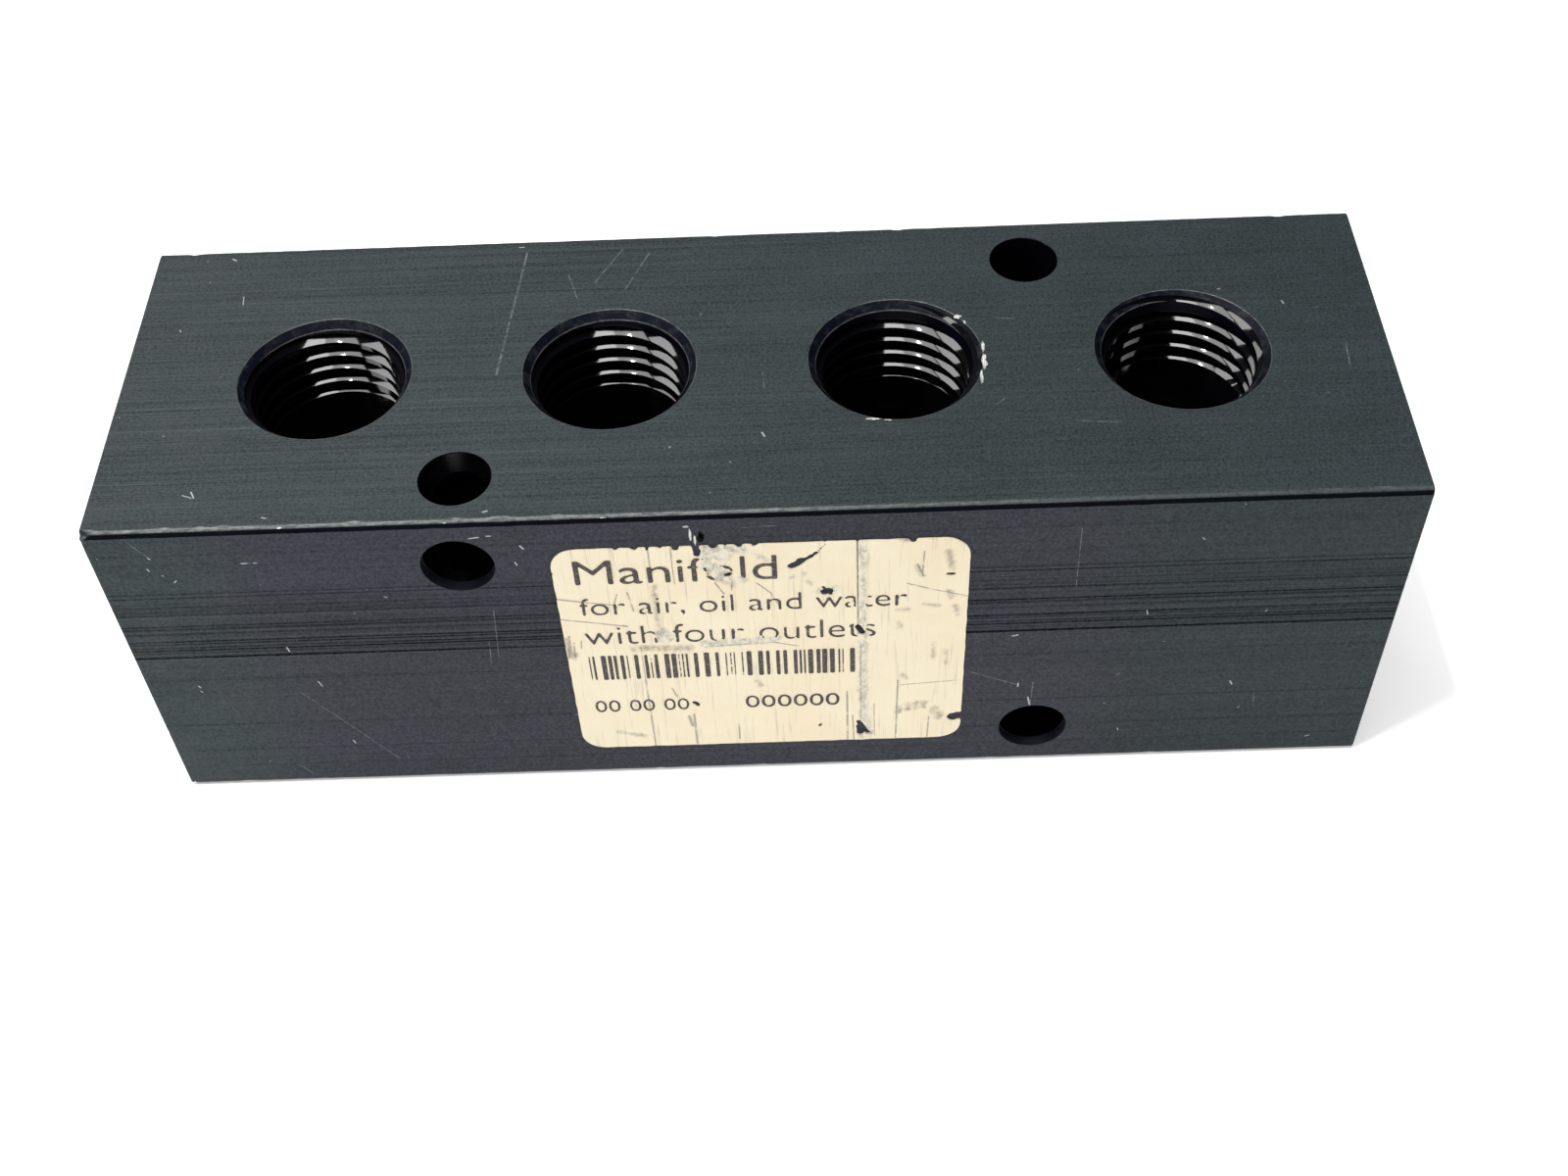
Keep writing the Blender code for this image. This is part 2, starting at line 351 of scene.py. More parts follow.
# Fine scratches and small flecks as straight strokes: start, end and half width in
# millimetres, as (x, y, x, y, width) on the top face and (x, z, x, z, width) on the front.
TOP = BAR_SIDE / MM
FRONT = -HALF / MM
TOP_SCRATCHES = (
    (-18.5, 14.2, -19.9, -0.4, 0.12), (-12.7, 10.2, -10.6, 14.2, 0.09), (-10.2, 9.2, -8.4, 13.6, 0.07),
    (-14.9, 11.2, -13.7, 7.0, 0.06), (19.3, 4.2, 20.7, 4.0, 0.06), (18.4, -5.6, 19.2, -4.9, 0.06),
    (24.4, -7.6, 27.6, -7.9, 0.06), (0.8, -1.2, 0.9, -2.9, 0.06), (45.9, -0.2, 45.7, -2.9, 0.09),
)
FRONT_SCRATCHES = (
    (16.5, 12.2, 20.4, 10.3, 0.07), (-37.2, 12.4, -31.0, 3.0, 0.05), (21.6, 10.6, 21.5, 6.5, 0.06),
    (39.6, 8.8, 39.9, 6.4, 0.05), (24.0, 28.9, 24.1, 22.0, 0.05), (-20.3, 21.8, -20.7, 16.1, 0.05),
    (-21.2, 18.0, -21.4, 15.5, 0.05), (-0.9, 30.2, 1.6, 30.3, 0.05), (-45.9, 30.9, -44.6, 28.8, 0.07),
    (-38.2, 28.1, -36.1, 28.1, 0.07), (-39.6, 2.6, -38.6, 1.2, 0.06),
)
TOP_FLECKS = (
    (-43.0, 14.7, -42.7, 14.5, 0.10), (-19.2, 14.9, -18.8, 14.9, 0.07), (-45.8, 6.1, -45.7, 5.9, 0.06),
    (0.7, -7.7, 0.9, -8.1, 0.09), (-41.6, -11.9, -41.3, -12.5, 0.08), (-42.2, -12.2, -41.5, -12.5, 0.05),
    (-35.9, -14.7, -35.6, -14.8, 0.07), (-19.7, -14.9, -19.4, -14.8, 0.09), (41.9, 5.0, 42.0, 4.7, 0.08),
    (-41.3, 9.9, -41.2, 8.9, 0.05),
)
FRONT_FLECKS = (
    (-37.0, 18.1, -36.9, 17.6, 0.08), (-45.1, 13.6, -45.0, 13.4, 0.07), (-45.1, 12.9, -45.0, 12.8, 0.07),
    (-35.5, 13.7, -35.3, 13.1, 0.06), (19.6, 16.6, 20.0, 16.7, 0.09), (20.4, 10.5, 20.4, 10.1, 0.09),
    (37.5, 9.9, 37.7, 9.5, 0.08), (29.8, 19.2, 29.9, 18.7, 0.05), (-44.8, 29.0, -44.7, 28.9, 0.07),
    (-45.2, 27.8, -45.1, 27.6, 0.07), (-44.3, 27.0, -44.2, 27.0, 0.06), (-43.6, 26.2, -43.4, 26.4, 0.07),
    (-38.1, 28.1, -37.7, 28.1, 0.08), (-37.2, 28.1, -37.0, 28.1, 0.06), (-28.3, 23.8, -28.1, 23.7, 0.05),
    (-17.3, 29.0, -17.1, 28.7, 0.10), (-17.9, 27.2, -17.8, 26.9, 0.08), (-20.9, 30.0, -20.2, 30.1, 0.08),
    (-19.6, 30.2, -19.3, 30.2, 0.07), (21.3, 8.6, 21.5, 7.6, 0.09), (33.0, 27.4, 33.2, 27.2, 0.05),
    (-34.3, 5.7, -34.2, 5.3, 0.07), (29.0, 4.0, 29.1, 3.7, 0.05), (44.9, 2.0, 45.2, 2.1, 0.06),
)


def stroke_mask(g, on_top, on_front):
    """1 on any of the strokes on the top face or on the front face."""
    masks = [g.line_mask((x0, y0, TOP), (x1, y1, TOP), width) for x0, y0, x1, y1, width in on_top]
    masks += [
        g.line_mask((x0, FRONT, z0), (x1, FRONT, z1), width) for x0, z0, x1, z1, width in on_front
    ]
    return g.any_of(masks)


def anodised():
    """Black anodised extrusion: drawing lines along the bar, scuffs, scratches and worn edges, with a
    painted shade on the front face, a painted highlight along the front top edge and a painted shade line
    below it.
    """
    g = Finish("black_anodised")
    across = g.axis(1)
    up = g.axis(2)
    along = g.axis(0)
    fine = g.noise((0.02, 4.5, 4.5), detail=3, roughness=0.75)
    medium = g.noise((0.008, 1.4, 1.4), detail=3, roughness=0.65, offset=(3, 5, 7))
    broad = g.noise((0.03, 0.10, 0.10), detail=2, offset=(11, 2, 5))
    blotch = g.noise((0.16, 0.25, 0.25), detail=4, roughness=0.6, offset=(1, 9, 4))
    grain = g.noise((4.5, 4.5, 4.5), detail=3, roughness=0.75, offset=(5, 5, 5))

    # Painted shade: the front face gets its own darker, bluer copy of the colour, with greener patches near
    # both ends, in place of the light that falls on that face.
    to_front = g.band(g.facing((0, -1, 0)), 0.5, 0.9)
    to_top = g.band(g.facing((0, 0, 1)), 0.5, 0.9)
    colour = g.mix(to_front, (0.025, 0.036, 0.039), (0.021, 0.024, 0.036))
    ragged = g.plus(along, g.times(blotch, 14))
    green_left = g.times(to_front, g.band(ragged, -26, -38))
    green_right = g.times(to_front, g.band(ragged, 26, 42))
    colour = g.mix(green_left, colour, (0.021, 0.034, 0.039))
    colour = g.mix(green_right, colour, (0.015, 0.025, 0.028))
    streak = g.noise((0.05, 9, 9), detail=2, roughness=0.8, offset=(9, 3, 1))
    calm = g.uneven((medium, 0.2), (broad, 0.3), (blotch, 0.5), (grain, 2.4))
    lined = g.plus(g.times(fine, 1.6), streak)
    lined = g.minus(lined, 1.3)

    # Drawing lines: strongest in a band on the front with a step in tone below it, over the
    # left half of the top, and on the back and the underside.
    fading = g.noise((0.05, 0.1, 3.0), detail=3, roughness=0.7, offset=(4, 0, 3))
    in_band = g.times(g.band(up, 16.95, 17.15), g.band(up, 25.5, 23.5))
    on_top = g.times(to_top, g.band(along, 30, -20, 0.45, 1.25))
    share = g.plus(on_top, g.times(to_front, g.band(in_band, 0, 1, 0.35, 1.0)))
    hidden = g.minus(1.0, g.math("MAXIMUM", to_front, to_top))
    share = g.plus(share, g.times(hidden, 0.9))
    tone = g.plus(calm, g.times(lined, share))
    dark = g.times(g.parallel_lines(up, DIE_LINES), g.band(fading, 0.25, 0.55, 0.35, 1.0))
    dark = g.plus(dark, g.times(in_band, 0.08))
    dark = g.minus(dark, g.times(g.parallel_lines(up, PALE_LINES), fading))
    dark = g.times(dark, to_front)
    tone = g.minus(tone, g.times(dark, 0.9))
    smoother = g.times(g.band(fading, 0.35, 0.65), g.band(along, 2, -30))
    pale = g.times(g.parallel_lines(across, RUBBED_LINES), smoother)
    tone = g.plus(tone, g.times(pale, to_top))
    colour = g.vector("SCALE", colour)
    g.feed(colour.node.inputs["Scale"], tone)

    # Brown stain near the left end and the back left corner.
    stain = g.times(g.band(along, -34, -48), g.band(blotch, 0.45, 0.7))
    colour = g.mix(g.times(stain, 0.2), colour, (0.065, 0.052, 0.045))

    # Bare metal: worn front top edge, scratches and specks. The band on the front top edge is partly wear
    # and partly a painted highlight: it lies where the rounding faces the overhead light, and fades towards
    # the right.
    upper = g.band(g.facing((0, 0, 1)), 0.992, 0.96)
    worn = g.times(g.band(g.facing((0, -0.62, 1)), 0.945, 0.99), upper)
    wear = g.noise((1.3, 5, 5), detail=5, roughness=0.8, offset=(8, 1, 2))
    wear = g.band(wear, 0.25, 0.85)
    leftwards = g.band(along, 30, -10, 0.18, 1.0)
    worn = g.times(g.times(worn, wear), leftwards)
    breaks = g.band(g.noise((1.7, 1.7, 1.7), detail=3, roughness=0.7, offset=(2, 8, 8)), 0.35, 0.62)
    scratches = g.times(stroke_mask(g, TOP_SCRATCHES, FRONT_SCRATCHES), breaks)
    flecks = stroke_mask(g, TOP_FLECKS, FRONT_FLECKS)
    specks = g.band(g.noise((1.15, 1.15, 1.15), detail=3, roughness=0.55, offset=(31, 7, 3)), 0.745, 0.78)
    shares = ((worn, 0.42), (scratches, 0.16), (flecks, 0.55), (specks, 0.3))
    bare = g.any_of([g.times(mask, share) for mask, share in shares])
    colour = g.mix(bare, colour, BARE)
    # Painted shade: a near-black line along the lower part of the front top edge's rounding, with its sheen
    # taken away as well.
    painted_edge_shade = g.band(g.facing((0, -1, 0.45)), 0.90, 0.98)
    painted_edge_shade = g.times(painted_edge_shade, g.band(g.facing((0, 0, 1)), 0.04, 0.16))
    colour = g.mix(g.times(painted_edge_shade, 0.85), colour, (0.002, 0.002, 0.004))

    roughness = g.plus(0.42, g.times(medium, 0.16))
    roughness = g.plus(roughness, g.times(grain, 0.08))
    normal = g.bump(fine, 0.004)
    normal = g.bump(medium, 0.010, normal)
    normal = g.bump(grain, 0.0025, normal)
    normal = g.bump(bare, -0.01, normal)
    gloss = g.minus(g.band(to_front, 0, 1, 0.34, 0.23), g.times(dark, 0.30))
    specular = g.times(gloss, g.uneven((grain, 1.8), (fine, 0.5)))
    specular = g.times(specular, g.minus(1.0, painted_edge_shade))
    return g.finish(colour, roughness, g.times(bare, 0.8), normal, specular)


def sawn():
    """The anodised ends, with the wide arcs that a saw blade leaves."""
    g = Finish("sawn_end")
    centre = Vector((0, -70, 60)) * MM
    offset = g.vector("MULTIPLY", g.vector("SUBTRACT", g.place, tuple(centre)), (0, 1, 1))
    reach = g.times(g.vector("LENGTH", offset, output=1), 1 / MM)
    arcs = g.add("ShaderNodeTexNoise", noise_dimensions="1D")
    g.feed(arcs.inputs["W"], g.times(reach, 3.2))
    arcs.inputs["Scale"].default_value = 1
    arcs.inputs["Detail"].default_value = 4
    arcs.inputs["Roughness"].default_value = 0.75
    arc = g.band(arcs.outputs["Fac"], 0.30, 0.70)
    blotch = g.noise((0.2, 0.2, 0.2), detail=4, offset=(4, 4, 1))
    tone = g.plus(g.times(arc, 1.0), g.times(blotch, 0.8))
    colour = g.vector("SCALE", (0.026, 0.028, 0.030))
    g.feed(colour.node.inputs["Scale"], tone)
    normal = g.bump(arc, 0.035)
    return g.finish(colour, g.plus(0.38, g.times(arc, 0.12)), 0.0, normal, 0.4)


def machined(name, ring_scale, colour, roughness, specular, ring_depth=0.006, bright_above=None):
    """Cut and then anodised metal, with fine tool rings square to the hole's axis.

    Light that bounces about a deep bore is lost, so below a height its sheen can be faded.
    """
    g = Finish(name)
    rings = g.noise(ring_scale, detail=3, roughness=0.6)
    blotch = g.noise((0.6, 0.6, 0.6), detail=3, offset=(2, 3, 4))
    tone = g.plus(g.times(rings, 0.8), g.times(blotch, 0.8))
    shade = g.vector("SCALE", colour)
    g.feed(shade.node.inputs["Scale"], tone)
    gloss = g.times(g.uneven((blotch, 1.0)), roughness)
    if bright_above is not None:
        specular = g.band(g.axis(2), bright_above - 1.5, bright_above, 0.04, specular)
    return g.finish(shade, gloss, 0.0, g.bump(rings, ring_depth), specular)


def rim_metal():
    """Countersinks: dark blue-black, rubbed lighter where they meet the face."""
    g = Finish("countersink")
    rings = g.noise((2.5, 2.5, 14), detail=3, roughness=0.7)
    blotch = g.noise((0.8, 0.8, 0.8), detail=4, roughness=0.7, offset=(6, 1, 3))
    worn = g.times(g.band(blotch, 0.45, 0.72), 0.5)
    colour = g.mix(worn, (0.004, 0.005, 0.012), (0.055, 0.058, 0.062))
    roughness = g.plus(0.3, g.times(rings, 0.2))
    return g.finish(colour, roughness, 0.0, g.bump(rings, 0.01), 0.17)


def worn_rim():
    """The narrow rubbed line round a countersink."""
    g = Finish("rubbed_rim")
    wear = g.band(g.noise((0.9, 0.9, 0.9), detail=5, roughness=0.8, offset=(1, 7, 9)), 0.3, 0.7)
    colour = g.mix(wear, (0.02, 0.023, 0.025), (0.16, 0.165, 0.16))
    return g.finish(colour, 0.4, g.times(wear, 0.4), specular=0.3)


def bare_metal():
    """Bright torn aluminium in the knocks."""
    g = Finish("bare_aluminium")
    torn = g.noise((5, 5, 5), detail=5, roughness=0.75)
    colour = g.mix(g.band(torn, 0.3, 0.75), (0.55, 0.56, 0.54), (0.95, 0.95, 0.93))
    return g.finish(colour, g.plus(0.3, g.times(torn, 0.3)), 0.55, g.bump(torn, 0.04))


# ---------------------------------------------------------------- machined bar


def closed_mesh(name, bm, material):
    """A mesh of one material from a bmesh, with its faces pointing out."""
    bmesh.ops.recalc_face_normals(bm, faces=bm.faces)
    mesh = bpy.data.meshes.new(name)
    bm.to_mesh(mesh)
    bm.free()
    mesh.materials.append(material)
    return mesh


def add_object(name, mesh, collection=None):
    """An object in the scene, or in a given collection."""
    obj = bpy.data.objects.new(name, mesh)
    (collection or bpy.context.scene.collection).objects.link(obj)
    return obj


def edge_wear(x, corner, nicks):
    """How far a long edge is worn away at x, in metres."""
    depth = EDGE_WAVE * abs(noise.noise(Vector((x / MM * 0.7, corner * 9.1, 2.5))))
    for place, size, deepest in nicks[corner]:
        depth += deepest * math.exp(-(((x - place) / size) ** 2))
    return depth


def section(x, nicks, inset):
    """The bar's outline at x, with its rounded corners worn."""
    points = []
    corners = ((1, 1), (-1, 1), (-1, -1), (1, -1))
    for corner, (side_y, side_z) in enumerate(corners):
        centre_y, centre_z = side_y * (HALF - EDGE_RADIUS), side_z * (HALF - EDGE_RADIUS)
        for step in range(EDGE_STEPS + 1):
            share = step / EDGE_STEPS
            angle = QUARTER_TURN * (corner + share)
            reach = EDGE_RADIUS - inset - edge_wear(x, corner, nicks) * math.sin(math.pi * share)
            y = centre_y + reach * math.cos(angle)
            z = HALF + centre_z + reach * math.sin(angle)
            points.append((x, y, z))
    return points


def bar_mesh(material, end_material):
    """The sawn bar as a row of sections, closer together than its smallest nick."""
    rng = random.Random(5)
    nicks = []
    for count in NICK_COUNTS:
        nicks.append([
            (rng.uniform(-0.5, 0.5) * BAR_LENGTH, rng.uniform(0.15, 0.5) * MM, rng.uniform(0.02, 0.09) * MM)
            for _ in range(count)
        ])
    nicks[1].append((-BAR_LENGTH / 2, 0.5 * MM, 0.25 * MM))
    count = round(BAR_LENGTH / RING_SPACING)
    places = [(BAR_LOW.x, END_EDGE_BREAK)]
    for step in range(count + 1):
        x = BAR_LOW.x + END_EDGE_BREAK + (BAR_LENGTH - 2 * END_EDGE_BREAK) * step / count
        places.append((x, 0.0))
    places.append((BAR_HIGH.x, END_EDGE_BREAK))
    bm = bmesh.new()
    rings = [[bm.verts.new(point) for point in section(x, nicks, inset)] for x, inset in places]
    for here, beside in zip(rings, rings[1:]):
        for index in range(len(here)):
            after = (index + 1) % len(here)
            bm.faces.new((here[index], here[after], beside[after], beside[index]))
    for ring in (rings[0], rings[-1]):
        bm.faces.new(ring).material_index = 1
    mesh = closed_mesh("manifold_bar", bm, material)
    mesh.materials.append(end_material)
    return mesh


def lathe_mesh(name, outline, material, steps=ROUND_STEPS):
    """A solid turned about local Z from (radius, height) pairs, closed on the axis at both ends."""
    bm = bmesh.new()
    rings = []
    for radius, height in outline:
        ring = []
        for step in range(steps):
            angle = 2 * math.pi * (step + STEP_PHASE) / steps
            ring.append(bm.verts.new((radius * math.cos(angle), radius * math.sin(angle), height)))
        rings.append(ring)
    for here, beside in zip(rings, rings[1:]):
        for index in range(steps):
            after = (index + 1) % steps
            bm.faces.new((here[index], here[after], beside[after], beside[index]))
    bm.faces.new(rings[0])
    bm.faces.new(rings[-1])
    return closed_mesh(name, bm, material)


def groove(turn, hole):
    """Depth of a groove's bottom at a turn count, its height above the bore and its half width."""
    depth = PITCH * turn
    fade = min(max((hole["thread"] - depth) / (PITCH * RUNOUT_TURNS), 0), 1)
    height = (hole["root"] - TAPER * max(depth, 0) - hole["drill"]) * fade
    return depth, height, height * FLANK


def thread_profile(turn, hole):
    """(radius, depth) down one turn: round the groove's bottom, along a flank and over the crest."""
    depth, height, flank = groove(turn, hole)
    next_depth, next_height, next_flank = groove(turn + 1, hole)
    drill = hole["drill"]
    flat = min(ROOT_FLAT, height / 2)
    crest = min(CREST_ROUND, height / 2, next_height / 2)
    shoulder = max(flat * FLANK, LEAST_SHOULDER)
    middle = (depth + flank + next_depth - next_flank) / 2
    half_crest = (next_depth - next_flank - depth - flank) / 2
    half_crest = min(max(half_crest, LEAST_HALF_CREST), PITCH / 2 - LEAST_HALF_GROOVE)
    return (
        (drill + height - flat, depth - shoulder),
        (drill + height - flat * 0.5, depth),
        (drill + height - flat, depth + shoulder),
        (drill + crest, middle - half_crest - crest * 0.4),
        (drill, middle - half_crest + CREST_BREAK),
        (drill, middle + half_crest - CREST_BREAK),
        (drill + crest, middle + half_crest + crest * 0.4),
    )


def tapped_mesh(name, hole, material):
    """A tapped hole's space about local Z: a right-hand screw surface above a plain bore."""
    last = (math.ceil(hole["thread"] / PITCH) - FIRST_TURN) * ROWS
    bm = bmesh.new()
    columns, bore = [], []
    for step in range(TURN_STEPS):
        share = step / TURN_STEPS
        angle = -2 * math.pi * share
        cosine, sine = math.cos(angle), math.sin(angle)
        column = []
        for row in range(last + 1):
            radius, depth = thread_profile(FIRST_TURN + row // ROWS + share, hole)[row % ROWS]
            column.append(bm.verts.new((radius * cosine, radius * sine, -depth)))
        columns.append(column)
        bore.append(bm.verts.new((hole["drill"] * cosine, hole["drill"] * sine, -hole["depth"])))
    first, final = columns[0], columns[-1]
    for here, beside in zip(columns, columns[1:]):
        for row in range(last):
            bm.faces.new((here[row], beside[row], beside[row + 1], here[row + 1]))
    for row in range(last - ROWS):
        bm.faces.new((final[row], first[row + ROWS], first[row + ROWS + 1], final[row + 1]))
    mouth = bm.verts.new((0, 0, -PITCH * (FIRST_TURN + 0.5)))
    loop = [column[0] for column in columns] + first[ROWS::-1]
    for here, beside in zip(loop, loop[1:]):
        bm.faces.new((mouth, here, beside))
    for step in range(TURN_STEPS - 1):
        bm.faces.new((columns[step][-1], columns[step + 1][-1], bore[step + 1], bore[step]))
    seam = [first[-1]] + final[last - ROWS :] + [bore[-1]]
    for here, beside in zip(seam, seam[1:]):
        bm.faces.new((bore[0], here, beside))
    tip = bm.verts.new((0, 0, -hole["depth"] - hole["drill"] * DRILL_POINT))
    for here, beside in zip(bore, bore[1:] + bore[:1]):
        bm.faces.new((tip, here, beside))
    bmesh.ops.triangulate(bm, faces=bm.faces)
    return closed_mesh(name, bm, material)


def chip_mesh(name, material, seed):
    """A lump of unit size with an uneven surface."""
    bm = bmesh.new()
    bmesh.ops.create_icosphere(bm, subdivisions=3, radius=1)
    for vert in bm.verts:
        vert.co *= 1 + 0.6 * noise.noise(vert.co * 2.1 + Vector((seed * 3.3, seed, 0)))
    return closed_mesh(name, bm, material)


def cutter(collection, name, mesh, location, rotation=(0, 0, 0), scale=(1, 1, 1)):
    """A solid that the machining takes out of the bar."""
    obj = add_object(name, mesh, collection)
    obj.location = location
    obj.rotation_euler = rotation
    obj.scale = scale
    return obj


def rim_meshes(name, rim, drill, metals):
    """The countersink, the lead-in below it that trims the first crests, and its rubbed edges."""
    countersink, rubbed, lead_in = metals
    waist, tip = rim - COUNTERSINK, drill - LEAD_IN_CLEARANCE
    cone = ((waist, -COUNTERSINK), (rim + OVERSHOOT, OVERSHOOT))
    depth = COUNTERSINK + (waist - tip) / LEAD_IN_SLOPE
    lead = ((tip, -depth), (waist + (OVERSHOOT + COUNTERSINK) * LEAD_IN_SLOPE, OVERSHOOT))
    edge = ((rim - RIM_BREAK * 0.4, -RIM_BREAK), (rim + OVERSHOOT * RIM_BREAK_SLOPE, OVERSHOOT))
    ring = [
        (waist + WAIST_BREAK + reach * WAIST_SLOPE, reach - COUNTERSINK)
        for reach in (-WAIST_REACH, WAIST_REACH)
    ]
    return (
        lathe_mesh(name, cone, countersink),
        lathe_mesh(name + "_lead_in", lead, lead_in),
        lathe_mesh(name + "_waist", ring, rubbed),
        lathe_mesh(name + "_edge", edge, rubbed),
    )


def hole_cutters(collection):
    """Cutters for the outlets, the inlets, the gallery and the bolt holes."""
    fading = TOP - OUTLET["thread"] / MM + SHEEN_HEIGHT
    black = (0.004, 0.004, 0.006)
    thread = machined("outlet_thread", (1.5, 1.5, 9), black, 0.065, 0.62, 0.0012, fading)
    side_thread = machined("inlet_thread", (9, 1.5, 1.5), black, 0.065, 0.62, 0.0012)
    upright_bore = machined("upright_bore", (1.0, 1.0, 12), (0.003, 0.003, 0.006), 0.25, 0.25)
    level_bore = machined("level_bore", (1.0, 12, 1.0), (0.003, 0.003, 0.006), 0.22, 0.5)
    # Painted light: a paler, navy copy of the bores' black, for the lit wall just inside the level holes.
    painted_lit_bore_mouth = machined("painted_lit_bore_mouth", (1.0, 12, 1.0), (0.010, 0.011, 0.020), 0.45, 0.35)
    gallery = machined("gallery_bore", (12, 1.0, 1.0), (0.003, 0.003, 0.004), 0.35, 0.3)
    lead_in = machined("lead_in", (1.2, 1.2, 30), (0.002, 0.002, 0.005), 0.35, 0.06)
    metals = (rim_metal(), worn_rim(), lead_in)

    hole = tapped_mesh("outlet_hole", OUTLET, thread)
    rims = rim_meshes("outlet_rim", OUTLET_RIM, OUTLET["drill"], metals)
    for index in range(OUTLETS):
        place = ((index - (OUTLETS - 1) / 2) * OUTLET_SPACING, 0, BAR_HIGH.z)
        turn = (0, 0, THREAD_START_STEP * index)
        cutter(collection, f"outlet_{index + 1}", hole, place, turn)
        for rim in rims:
            cutter(collection, f"{rim.name}_{index + 1}", rim, place)

    hole = tapped_mesh("inlet_hole", INLET, side_thread)
    rims = rim_meshes("inlet_rim", INLET_RIM, INLET["drill"], metals)
    for side, end in ((-1, "left"), (1, "right")):
        place, turn = (side * BAR_LENGTH / 2, 0, HALF), (0, side * QUARTER_TURN, 0)
        cutter(collection, f"inlet_{end}", hole, place, turn)
        for rim in rims:
            cutter(collection, f"{rim.name}_{end}", rim, place, turn)

    bore_outline = ((GALLERY_RADIUS, -OVERSHOOT), (GALLERY_RADIUS, BAR_LENGTH + OVERSHOOT))
    bore = lathe_mesh("gallery_bore", bore_outline, gallery)
    cutter(collection, "gallery", bore, (BAR_LOW.x, 0, HALF), (0, QUARTER_TURN, 0))

    broken = MOUNT_RADIUS + MOUNT_BREAK
    outline = (
        (broken + OVERSHOOT, -OVERSHOOT),
        (MOUNT_RADIUS, MOUNT_BREAK),
        (MOUNT_RADIUS, BAR_SIDE - MOUNT_BREAK),
        (broken + OVERSHOOT, BAR_SIDE + OVERSHOOT),
    )
    upright = lathe_mesh("upright_mount", outline, upright_bore, MOUNT_STEPS)
    level = lathe_mesh("level_mount", outline, level_bore, MOUNT_STEPS)
    for index, (x, y) in enumerate(UPRIGHT_MOUNTS):
        cutter(collection, f"upright_{index}", upright, Vector((x, y, 0)) * MM)
    # Painted light: the first part of each level hole, in a barely wider mouth, takes the paler bore
    # colour, while deeper down the bore stays black.
    mouth_outline = ((MOUTH_RADIUS, -OVERSHOOT), (MOUTH_RADIUS, MOUTH_DEPTH))
    mouth = lathe_mesh("mount_mouth", mouth_outline, painted_lit_bore_mouth, MOUNT_STEPS)
    for index, (x, z) in enumerate(LEVEL_MOUNTS):
        place = Vector((x * MM, -HALF, z * MM))
        cutter(collection, f"mouth_{index}", mouth, place, (-QUARTER_TURN, 0, 0))
        cutter(collection, f"level_{index}", level, place, (-QUARTER_TURN, 0, 0))


def chip_cutters(collection):
    """Knocks that go through the anodising, and hollows painted near-black as painted shade: (x, y, z, half
    lengths in x, y and z) in millimetres.
    """
    x3 = OUTLET_SPACING / 2 / MM
    knocks = [
        (x3 + 6.88, 1.0, TOP, 0.13, 0.60, 0.16),
        (x3 + 6.82, -0.8, TOP, 0.22, 0.80, 0.22),
        (x3 + 6.50, -2.35, TOP, 0.12, 0.85, 0.12),
        (x3 + 5.15, 4.50, TOP, 0.30, 0.20, 0.18),
        (x3 + 5.65, 3.85, TOP, 0.10, 0.18, 0.12),
        (x3 - 2.0, -6.60, TOP, 0.65, 0.13, 0.14),
        (x3 - 0.9, -6.80, TOP, 0.30, 0.08, 0.10),
        (BAR_LOW.x / MM, FRONT, TOP - 1.0, 0.10, 0.14, 0.60),
        (BAR_LOW.x / MM + 0.1, FRONT + 0.1, TOP - 0.1, 0.16, 0.16, 0.14),
        (BAR_LOW.x / MM, FRONT, 7.6, 0.13, 0.13, 0.22),
        (-4.72, FRONT, 29.6, 0.10, 0.06, 0.60),
        (-4.42, FRONT, 29.0, 0.08, 0.06, 0.50),
        (-4.95, FRONT, 30.5, 0.22, 0.06, 0.10),
        (-10.9, -15.75, TOP - 0.08, 0.30, 0.12, 0.10),
        (-22.4, -15.75, TOP - 0.08, 0.25, 0.12, 0.10),
        (-34.5, -15.75, TOP - 0.08, 0.22, 0.12, 0.10),
    ]
    # Hollows lined with a near-black painted shade, in place of the shadow inside them.
    gouges = [
        (-3.95, FRONT, 29.35, 0.26, 0.30, 0.62),
        (BAR_LOW.x / MM, FRONT, 0, 0.55, 0.60, 0.50),
    ]
    bare, dark = bare_metal(), machined("painted_shade_hollow", (2, 2, 2), (0.004, 0.004, 0.006), 0.5, 0.2)
    for material, places in ((bare, knocks), (dark, gouges)):
        for index, (x, y, z, *half) in enumerate(places):
            name = f"{material.name}_{index}"
            place, scale = Vector((x, y, z)) * MM, Vector(half) * MM
            cutter(collection, name, chip_mesh(name, material, index), place, scale=scale)


def machine_bar():
    """The bar with all its holes and knocks cut in one go, each with its own surface."""
    collection = bpy.data.collections.new("cutters")
    bpy.context.scene.collection.children.link(collection)
    hole_cutters(collection)
    chip_cutters(collection)
    rough = add_object("rough_bar", bar_mesh(anodised(), sawn()))
    cut = rough.modifiers.new("machining", "BOOLEAN")
    cut.operation = "DIFFERENCE"
    cut.solver = "EXACT"
    cut.operand_type = "COLLECTION"
    cut.collection = collection
    cut.material_mode = "TRANSFER"
    bpy.context.view_layer.update()
    graph = bpy.context.evaluated_depsgraph_get()
    mesh = bpy.data.meshes.new_from_object(rough.evaluated_get(graph), depsgraph=graph)
    for obj in list(collection.objects) + [rough]:
        bpy.data.objects.remove(obj)
    bpy.data.collections.remove(collection)
    mesh.shade_smooth()
    mesh.set_sharp_from_angle(angle=SHARP_ANGLE)
    for face in mesh.polygons:
        face.use_smooth = max(abs(share) for share in face.normal) < FLAT_FACE
    bar = add_object("machined_bar", mesh)
    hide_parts("manifold_body")
    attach(bar, "root")
    return bar


# ---------------------------------------------------------------- paper label

